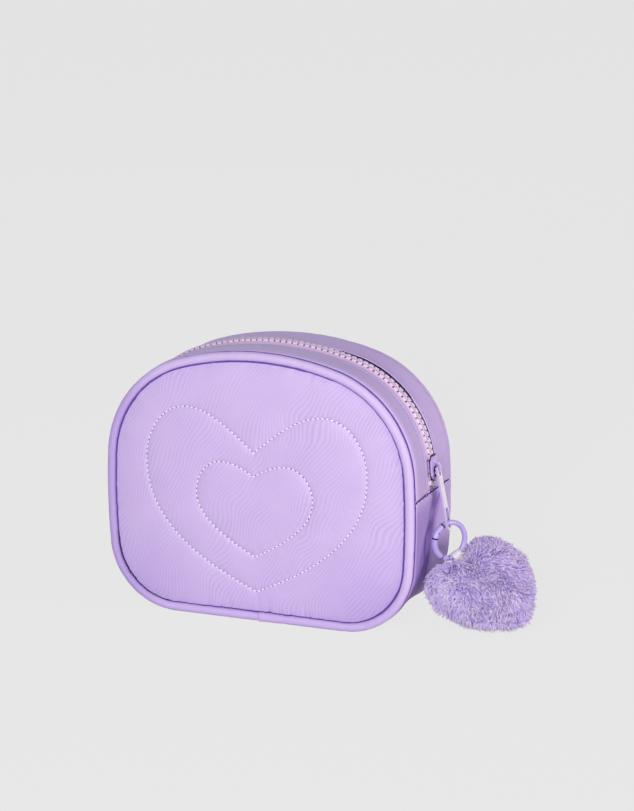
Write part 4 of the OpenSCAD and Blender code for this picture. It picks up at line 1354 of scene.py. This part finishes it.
def softened(node: str, name: str, radius: float, body: str,
             finish: Finish = ENAMEL) -> bpy.types.Object:
    """Copy of a hard node with the rounded edges that casting and lacquer leave.

    Args:
        node: The node to copy.
        name: Name of the new piece.
        radius: Edge radius in millimetres.
        body: The body that it rides on.
        finish: Its finish.

    Returns:
        The new object.
    """
    source = FRAME["nodes"][node]
    shaped = bmesh.new()
    shaped.from_mesh(source.data)
    bmesh.ops.remove_doubles(shaped, verts=shaped.verts, dist=1e-6)
    bmesh.ops.dissolve_limit(shaped, angle_limit=math.radians(1.0), verts=shaped.verts, edges=shaped.edges)
    sharp = [e for e in shaped.edges if len(e.link_faces) == 2 and e.calc_face_angle() > math.radians(38)]
    bmesh.ops.bevel(shaped, geom=sharp, offset=radius * MM, segments=3, profile=0.5, affect="EDGES",
                    clamp_overlap=True)
    bmesh.ops.triangulate(shaped, faces=[f for f in shaped.faces if len(f.verts) > 4])
    mesh = bpy.data.meshes.new(name)
    shaped.to_mesh(mesh)
    shaped.free()
    mesh.materials.clear()
    mesh.materials.append(finish.material())
    mesh.shade_smooth()
    mesh.set_sharp_from_angle(angle=math.radians(35))
    return hand_over(name, mesh, body, (node,))


# Clip ring and charm
@dataclass
class ClipRing:
    """Round spring-gate ring with its barrel, rivet and latch pin."""

    centre: Vector = Vector((96.4096, 1.66727, 46.2415))
    radius: float = 9.65
    yaw_deg: float = 54.0
    rivet_deg: float = 250.0
    # Angle on the ring, radius and length of each dark collar of painted shade at a gap between its parts
    gaps: tuple = ((166.0, 1.63, 0.8), (235.0, 1.62, 0.4), (264.0, 1.43, 0.4), (119.5, 1.62, 0.7))
    # Angle of the latch's pin, drawn as a dot of painted shade on the barrel
    pin_deg: float = 146.0

    @property
    def place(self) -> Matrix:
        """Ring plane to bag: local X and Y in the plane, Z along its normal."""
        return (Matrix.Translation(self.centre) @ Matrix.Rotation(math.radians(self.yaw_deg), 4, "Z")
                @ Matrix.Rotation(math.pi / 2, 4, "X"))

    def on_wire(self, angle_deg: float) -> Vector:
        """Centre of the wire at an angle, in the ring's own frame."""
        return Vector((self.radius * cos_deg(angle_deg), self.radius * sin_deg(angle_deg), 0))

    def build(self) -> None:
        """Builds the ring, its gate and the rivet's heads."""
        softened("clip_ring", "ring_body", 0.16, "ring")
        softened("ring_gate", "ring_gate_arm", 0.12, "gate")
        rivet = Piece("rivet_heads")
        for face in (-1, 1):
            at = self.on_wire(self.rivet_deg)
            path = [self.place @ (at + Vector((0, 0, face * h))) for h in (1.2, 1.7, 1.86, 1.9)]
            tube(rivet, path, (0.95, 0.95, 0.7, 0.2), 20)
        rivet.build([ENAMEL], "ring", "enamel", sharp_deg=40)
        # Painted shade: dark collars at the gaps between the ring's parts and a dark dot at the pin
        gaps = Piece("ring_joint_gap_shade")
        for angle, radius, length in self.gaps:
            at = self.on_wire(angle)
            way = Vector((cos_deg(90 + angle), sin_deg(90 + angle), 0)) * length / 2
            path = [self.place @ (at - way), self.place @ (at + way)]
            tube(gaps, path, (radius, radius), 28)
        at = self.on_wire(self.pin_deg)
        path = [self.place @ (at * 0.97 + Vector((0, 0, h))) for h in (1.3, 1.64)]
        tube(gaps, path, (0.38, 0.36), 12)
        gaps.build([PAINTED_GAP_SHADE], "ring", "enamel", sharp_deg=40)


@dataclass
class Charm:
    """Stuffed heart in long pile on a loop of satin ribbon."""

    ring: ClipRing
    width: float = 56.0
    height: float = 52.0
    thick: float = 20.0
    seat: float = 20.0346
    end: Vector = Vector((101.886, 5.92273, 31.2787))
    yaw_deg: float = 29.0
    lean_deg: float = 57.0
    roll_deg: float = 37.0
    strands: int = 27000
    locks: int = 9500
    pile_mm: float = 4.0
    skin_rings: int = 27
    # Where the pile parts, in the heart's plane
    cleft: Vector = Vector((0, 21, 0))
    # How much of a strand's way is out of the skin, away from the cleft, swirling and downwards
    brushed: tuple = (0.62, 0.5, 0.34, 0.14)
    # Painted shade of the skin under the pile, and of each strand at its root
    skin_shade: float = 0.34
    root_shade: float = 0.44
    # Share of the length and radius of each ring of a strand
    strand: tuple = ((0.0, 0.19), (0.35, 0.18), (0.7, 0.13), (1.0, 0.0))

    @property
    def place(self) -> Matrix:
        """Heart plane to bag: X to the right lobe, Y up from the tip, Z out of its front."""
        rad = math.radians
        return (Matrix.Translation(self.end) @ Matrix.Rotation(rad(self.yaw_deg), 4, "Z")
                @ Matrix.Rotation(rad(-self.lean_deg), 4, "X") @ Matrix.Rotation(rad(-self.roll_deg), 4, "Y")
                @ Matrix.Rotation(rad(90), 4, "X") @ Matrix.Translation((0, -self.seat, 0)))

    def skin(self) -> tuple[np.ndarray, int, int]:
        """Points of the stuffed heart's skin in its own plane.

        Returns:
            The points, how many rings there are, and how many points each has.
        """
        curve = heart_curve(CHARM_SHARES, self.width, self.height, -self.height / 2, 20)
        rings = []
        for k in range(1, self.skin_rings):
            a = math.pi * k / self.skin_rings
            share = math.sin(a) ** 0.9
            # Fuller towards the lobes, hollowed along the middle below the cleft
            hollow = 1 - 0.22 * np.exp(-(curve[:, 0] * share / 5) ** 2) * np.clip(curve[:, 1] / 14, 0, 1)
            z = np.sign(math.cos(a)) * self.thick / 2 * (1 - share ** 2.6) ** 0.5 * hollow
            z = z * (0.92 + 0.08 * np.cos(curve[:, 0] * share / 13))
            rings.append(np.column_stack([curve * share, z]))
        return np.array(rings), len(rings), len(curve)

    def body(self) -> bpy.types.Object:
        """Builds the stuffed skin under the pile and returns it."""
        rings, rows, cols = self.skin()
        piece = Piece("heart_body")
        verts = rings.reshape(-1, 3)
        caps = [rings[0].mean(0), rings[-1].mean(0)]
        faces = grid_faces(rows, cols, close_cols=True)
        n = len(verts)
        faces += [(j, (j + 1) % cols, n) for j in range(cols)]
        faces += [(n - cols + j, n - cols + (j + 1) % cols, n + 1) for j in range(cols)]
        piece.add([tuple(v) for v in verts] + [tuple(c) for c in caps], faces, 0, self.place)
        # Painted shade on the skin that shows between the strands
        piece.attribute = [self.skin_shade] * len(piece.verts)
        made = piece.build([PILE], "charm", "pile", ("heart_front", "heart_back", "heart_stuffing"))
        return made

    @property
    def front(self) -> Vector:
        """Unit vector out of the heart's front."""
        return (self.place.to_3x3() @ Vector((0, 0, 1))).normalized()

    @staticmethod
    def spot(corners: Sequence[Vector], rng: random.Random) -> Vector:
        """Random place on a triangle."""
        u, v = rng.random(), rng.random()
        if u + v > 1:
            u, v = 1 - u, 1 - v
        a, b, c = corners
        return a + (b - a) * u + (c - a) * v

    def lie(self, root: Vector, out: Vector) -> Vector:
        """Way the pile is brushed at a place: out of the skin, away from the cleft and off the seam.

        Args:
            root: The place in millimetres.
            out: Outward normal of the skin there.

        Returns:
            A unit vector.
        """
        place, normal = self.place, self.front
        off = (root - place.translation).dot(normal)
        away = root - place @ self.cleft
        away -= normal * away.dot(normal)
        away -= out * away.dot(out)
        swirl = noise.noise_vector(root / 9 + Vector((3, 7, 1)))
        swirl -= out * swirl.dot(out)
        shares = self.brushed
        way = out * shares[0] + away.normalized() * shares[1] + swirl.normalized() * shares[2]
        way += Vector((0, 0, -shares[3]))
        way += normal * (0.75 * math.copysign(1, off) * math.exp(-abs(off) / 1.5))
        return way.normalized()

    def clear_of_ring(self, root: Vector, way: Vector, length: float) -> float:
        """Shortens a strand that would cross the ring's wire."""
        back = self.ring.place.inverted()
        for share in (1.0, 0.8, 0.6, 0.4, 0.25):
            p = back @ (root + way * length * share)
            if math.hypot(math.hypot(p.x, p.y) - self.ring.radius, p.z) > 2.5:
                return length * share
        return length * 0.15

    def pile(self, skin: bpy.types.Object) -> None:
        """Plants the pile: tapered strands that gather into small locks.

        Args:
            skin: The stuffed skin that it grows from.
        """
        rng = random.Random(PILE_SEED)
        draw = np.random.default_rng(PILE_SEED)
        mesh = skin.data
        mesh.calc_loop_triangles()
        tris = [[mesh.vertices[i].co / MM for i in t.vertices] for t in mesh.loop_triangles]
        normals = [t.normal.copy() for t in mesh.loop_triangles]
        # A place is drawn as often as its triangle is large
        areas = np.array([(b - a).cross(c - a).length / 2 for a, b, c in tris])
        shares = areas / areas.sum()
        middle, front = self.place.translation, self.front
        locks = []
        nearest = kdtree.KDTree(self.locks)
        for number, index in enumerate(draw.choice(len(tris), self.locks, p=shares)):
            root = self.spot(tris[index], rng)
            way = self.lie(root, normals[index])
            way = way + 0.4 * noise.noise_vector(root / 1.6) + Vector([rng.gauss(0, 0.08) for _ in range(3)])
            way.normalize()
            # The pile is shorter along the seam between the two halves
            rim = math.exp(-abs((root - middle).dot(front)) / 2.2)
            length = self.pile_mm * rng.uniform(0.85, 1.08) * (1 - 0.25 * rim)
            length = self.clear_of_ring(root, way, length)
            bend = Vector([rng.gauss(0, 0.12) for _ in range(3)]) + Vector((0, 0, -0.12))
            tone = 0.07 + 0.14 * noise.noise(root / 3) + rng.uniform(-0.07, 0.1)
            locks.append((root, way, length, bend, tone))
            nearest.insert(root, number)
        nearest.balance()
        piece = Piece("heart_pile")
        thirds = [2 * math.pi * i / 3 for i in range(3)]
        for index in draw.choice(len(tris), self.strands, p=shares):
            root = self.spot(tris[index], rng)
            lock_root, way, length, bend, tone = locks[nearest.find(root)[1]]
            length *= rng.uniform(0.75, 1.08)
            tone += rng.uniform(0, 0.1)
            # Strands of a lock start apart and close up towards one tip
            gather = (lock_root - root) * 0.4
            side = way.orthogonal().normalized()
            up = way.cross(side)
            start = len(piece.verts)
            for t, r in self.strand:
                lean = (normals[index] * 0.25 * (1 - t) + bend * t) * length * t
                p = root + way * length * t + lean + gather * t * t
                if not r:
                    piece.verts.append(tuple(p))
                    piece.attribute.append(max(0.0, tone - 0.08))
                    continue
                # Painted shade, deepest at the root, over the lock's own random tone
                shade = min(1.0, max(0.0, self.root_shade * (1 - t) ** 1.8 + tone))
                for w in thirds:
                    piece.verts.append(tuple(p + r * (math.cos(w) * side + math.sin(w) * up)))
                    piece.attribute.append(shade)
            for a in (start, start + 3):
                piece.faces += [(a + i, a + (i + 1) % 3, a + 3 + (i + 1) % 3, a + 3 + i) for i in range(3)]
            piece.faces += [(start + 6 + i, start + 6 + (i + 1) % 3, start + 9) for i in range(3)]
            piece.faces.append((start, start + 2, start + 1))
        piece.tones = [0] * len(piece.faces)
        piece.build([PILE], "charm", "pile")

    def ribbon(self) -> None:
        """Lays the satin ribbon round the ring's wire and down into the heart's cleft."""
        place = (self.ring.place @ Matrix.Rotation(math.radians(-66), 4, "Z")
                 @ Matrix.Translation((self.ring.radius, 0, 0)) @ Matrix.Rotation(math.radians(-16), 4, "Y"))
        half_w, half_t, bend_r, cols = 2.8, 0.25, 2.0, 9
        # Down from the heart, round the wire and back: distance from the wire and offset across
        leg = [(9.2, 0.35), (6.0, 0.55), (4.2, 1.05), (2.6, 1.6)]
        route = leg + [(bend_r * cos_deg(a), bend_r * sin_deg(a)) for a in range(60, 301, 20)]
        route += [(x, -z) for x, z in reversed(leg)]
        verts = []
        for thickness in (-half_t, half_t):
            for i, (x, z) in enumerate(route):
                x0, z0 = route[max(i - 1, 0)]
                x1, z1 = route[min(i + 1, len(route) - 1)]
                size = math.hypot(x1 - x0, z1 - z0)
                nx, nz = (z1 - z0) / size, -(x1 - x0) / size
                # The ribbon narrows where it is gathered into the cleft
                taper = 1 - 0.18 * smooth_step((x - 3) / 5)
                for j in range(cols):
                    u = 2 * j / (cols - 1) - 1
                    # Its woven edges are thicker, and it waves a little across
                    d = thickness * (1.25 if abs(u) > 0.9 else 1) + 0.1 * math.sin(3 * u + i * 0.7)
                    verts.append((x + nx * d, half_w * u * taper, z + nz * d))
        rows = len(route)
        faces = grid_faces(rows, cols)
        faces += [tuple(i + rows * cols for i in f) for f in faces] + rim_faces(rows, cols)
        piece = Piece("ribbon")
        piece.add(verts, faces, 0, place)
        piece.build([SATIN_RIBBON], "charm", "ribbon", ("ribbon_loop",))

    def build(self) -> None:
        """Builds the ribbon, the heart and its pile."""
        self.ribbon()
        self.pile(self.body())


# Studio
@dataclass(frozen=True)
class Lamp:
    """A square soft light that faces the bag: power in watts, size and place in metres."""

    name: str
    power: float
    size: float
    at: tuple[float, float, float]
    colour: str

    def hang(self) -> None:
        """Adds the light to the scene."""
        data = bpy.data.lights.new(self.name, "AREA")
        data.energy, data.size = self.power, self.size
        data.color = srgb(self.colour)[:3]
        made = bpy.data.objects.new(self.name, data)
        spot = Vector(self.at)
        turn = (spot - Vector((0, 0, 0.07))).to_track_quat("Z", "Y").to_matrix().to_4x4()
        made.matrix_world = Matrix.Translation(spot) @ turn
        bpy.context.collection.objects.link(made)


@dataclass
class Studio:
    """Camera at the photograph's angle, a pale floor and soft lights."""

    eye_mm: tuple[float, float, float] = (494.78, -1149.95, 411.64)
    ahead: tuple[float, float, float] = (-0.36964, 0.89939, -0.23336)
    up: tuple[float, float, float] = (-0.08196, 0.21861, 0.97236)
    focal_px: float = 2410.9
    backdrop: str = "#E6E6E6"
    surroundings: str = "#E2DCFC"
    paper: str = "#E0E0E2"
    fill: float = 0.33
    glow: float = 1.01
    glow_share: float = 0.95
    floor_r: float = 12.0
    lamps: tuple[Lamp, ...] = (Lamp("key", 21.0, 0.6, (0.35, -1.5, 0.5), "#FFFBF7"),
                               Lamp("side", 7.4, 0.5, (1.3, -0.15, 0.25), "#FFF3EC"),
                               Lamp("rear", 2.6, 0.9, (-0.8, 1.4, 0.7), "#F2EEFF"))

    def camera(self) -> None:
        """Sets the camera."""
        data = bpy.data.cameras.new("camera")
        data.sensor_fit = "VERTICAL"
        data.sensor_height = SENSOR_MM
        data.lens = self.focal_px * SENSOR_MM / IMAGE_H_PX
        data.clip_start, data.clip_end = 0.05, 20
        back = -Vector(self.ahead).normalized()
        right = Vector(self.up).cross(back).normalized()
        up = back.cross(right)
        turn = Matrix((right, up, back)).transposed().to_4x4()
        made = bpy.data.objects.new("camera", data)
        made.matrix_world = Matrix.Translation(Vector(self.eye_mm) * MM) @ turn
        bpy.context.collection.objects.link(made)
        bpy.context.scene.camera = made

    @staticmethod
    def seen(tree: Tree) -> Socket:
        """Socket that is 1 for the camera's rays and for reflections, and 0 for the light on the bag."""
        rays = add_node(tree, "ShaderNodeLightPath")
        either = add_node(tree, "ShaderNodeMath", {"operation": "MAXIMUM"},
                          {"0": rays.outputs["Is Camera Ray"], "1": rays.outputs["Is Glossy Ray"]})
        return either.outputs["Value"]

    def world(self) -> None:
        """Even pale surroundings, seen by the camera and in reflections as the backdrop's grey."""
        world = bpy.data.worlds.new("studio")
        bpy.context.scene.world = world
        tree = new_tree(world)
        lit = add_node(tree, "ShaderNodeBackground",
                       {"in:Color": srgb(self.surroundings), "in:Strength": self.fill})
        shown = add_node(tree, "ShaderNodeBackground", {"in:Color": srgb(self.backdrop), "in:Strength": 1.0})
        mix = add_node(tree, "ShaderNodeMixShader", None,
                       {"0": self.seen(tree), "1": lit.outputs["Background"],
                        "2": shown.outputs["Background"]})
        add_node(tree, "ShaderNodeOutputWorld", None, {"Surface": mix.outputs["Shader"]})

    def floor(self) -> None:
        """Pale seamless floor that keeps a soft shadow."""
        mesh = bpy.data.meshes.new("floor")
        sides = 64
        turns = [2 * math.pi * i / sides for i in range(sides)]
        verts = [(self.floor_r * math.cos(a), self.floor_r * math.sin(a), -0.0002) for a in turns]
        mesh.from_pydata(verts, [], [tuple(range(sides))])
        made = bpy.data.objects.new("floor", mesh)
        bpy.context.collection.objects.link(made)
        # Matt paper: the camera sees its even pale grey, and a share of it takes the bag's soft shadow
        paper = bpy.data.materials.new("matt_backdrop_paper")
        tree = new_tree(paper)
        coords = add_node(tree, "ShaderNodeTexCoord").outputs["Object"]
        grain = add_node(tree, "ShaderNodeTexNoise", {"in:Scale": 1 / (2.5 * MM)}, {"Vector": coords})
        bump = add_node(tree, "ShaderNodeBump", {"in:Strength": 0.1, "in:Distance": 0.1 * MM},
                        {"Height": grain.outputs["Fac"]})
        lit = add_node(tree, "ShaderNodeBsdfDiffuse", {"in:Color": srgb(self.paper), "in:Roughness": 1.0},
                       {"Normal": bump.outputs["Normal"]})
        glow = add_node(tree, "ShaderNodeEmission",
                        {"in:Color": srgb(self.backdrop), "in:Strength": self.glow})
        share = add_node(tree, "ShaderNodeMath", {"operation": "MULTIPLY", "in:1": self.glow_share},
                         {"0": self.seen(tree)})
        mix = add_node(tree, "ShaderNodeMixShader", None,
                       {"0": share.outputs["Value"], "1": lit.outputs["BSDF"], "2": glow.outputs["Emission"]})
        add_node(tree, "ShaderNodeOutputMaterial", None, {"Surface": mix.outputs["Shader"]})
        mesh.materials.append(paper)

    def build(self) -> None:
        """Sets up the whole studio."""
        self.camera()
        self.world()
        self.floor()
        for lamp in self.lamps:
            lamp.hang()
        bpy.context.scene.view_settings.view_transform = "Standard"


# The nodes that keep their own shape
NODE_FINISHES: dict[str, Finish] = {
    "front_lining": PLAIN_LINING, "back_lining": PLAIN_LINING, "zip_facing_front": PLAIN_LINING,
    "zip_facing_rear": PLAIN_LINING, "seam_binding_front": PLAIN_LINING, "seam_binding_rear": PLAIN_LINING,
    "zip_stops": ACETAL, "gate_pin": SPRING_STEEL, "gate_spring": SPRING_STEEL}
FRAME: dict = {}


def dress_nodes() -> None:
    """Gives each node that keeps its own shape its finish."""
    for name, finish in NODE_FINISHES.items():
        node = FRAME["nodes"][name]
        node.data.materials.clear()
        node.data.materials.append(finish.material())
        LOG.info("%s: %s", name, finish.name)


def main() -> None:
    """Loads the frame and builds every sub-assembly in order."""
    logging.basicConfig(level=logging.INFO, format="%(name)s: %(message)s")
    # The vector noise starts from the clock unless it is given a seed
    noise.seed_set(NOISE_SEED)
    FRAME.update(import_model())
    Studio().build()
    front = PaddedPanel("front_quilt", Side.FRONT, crown=6.0, sewn=True, finish=FRONT_SATIN, slot="satin",
                        seed=11, nodes=("front_panel", "front_padding"))
    front.build()
    front.stitches()
    PaddedPanel("back_pad", Side.REAR, crown=5.0, sewn=False, finish=SIDE_SATIN, slot="satin_side",
                seed=12, nodes=("back_panel", "back_padding")).build()
    Piping("front_roll", Side.FRONT, ("front_piping", "front_piping_cord")).build()
    Piping("rear_roll", Side.REAR, ("back_piping", "back_piping_cord"), sunk=0.8).build()
    Gusset().build()
    Zip().build()
    ring = ClipRing()
    ring.build()
    Charm(ring).build()
    dress_nodes()


if __name__ == "__main__":
    main()
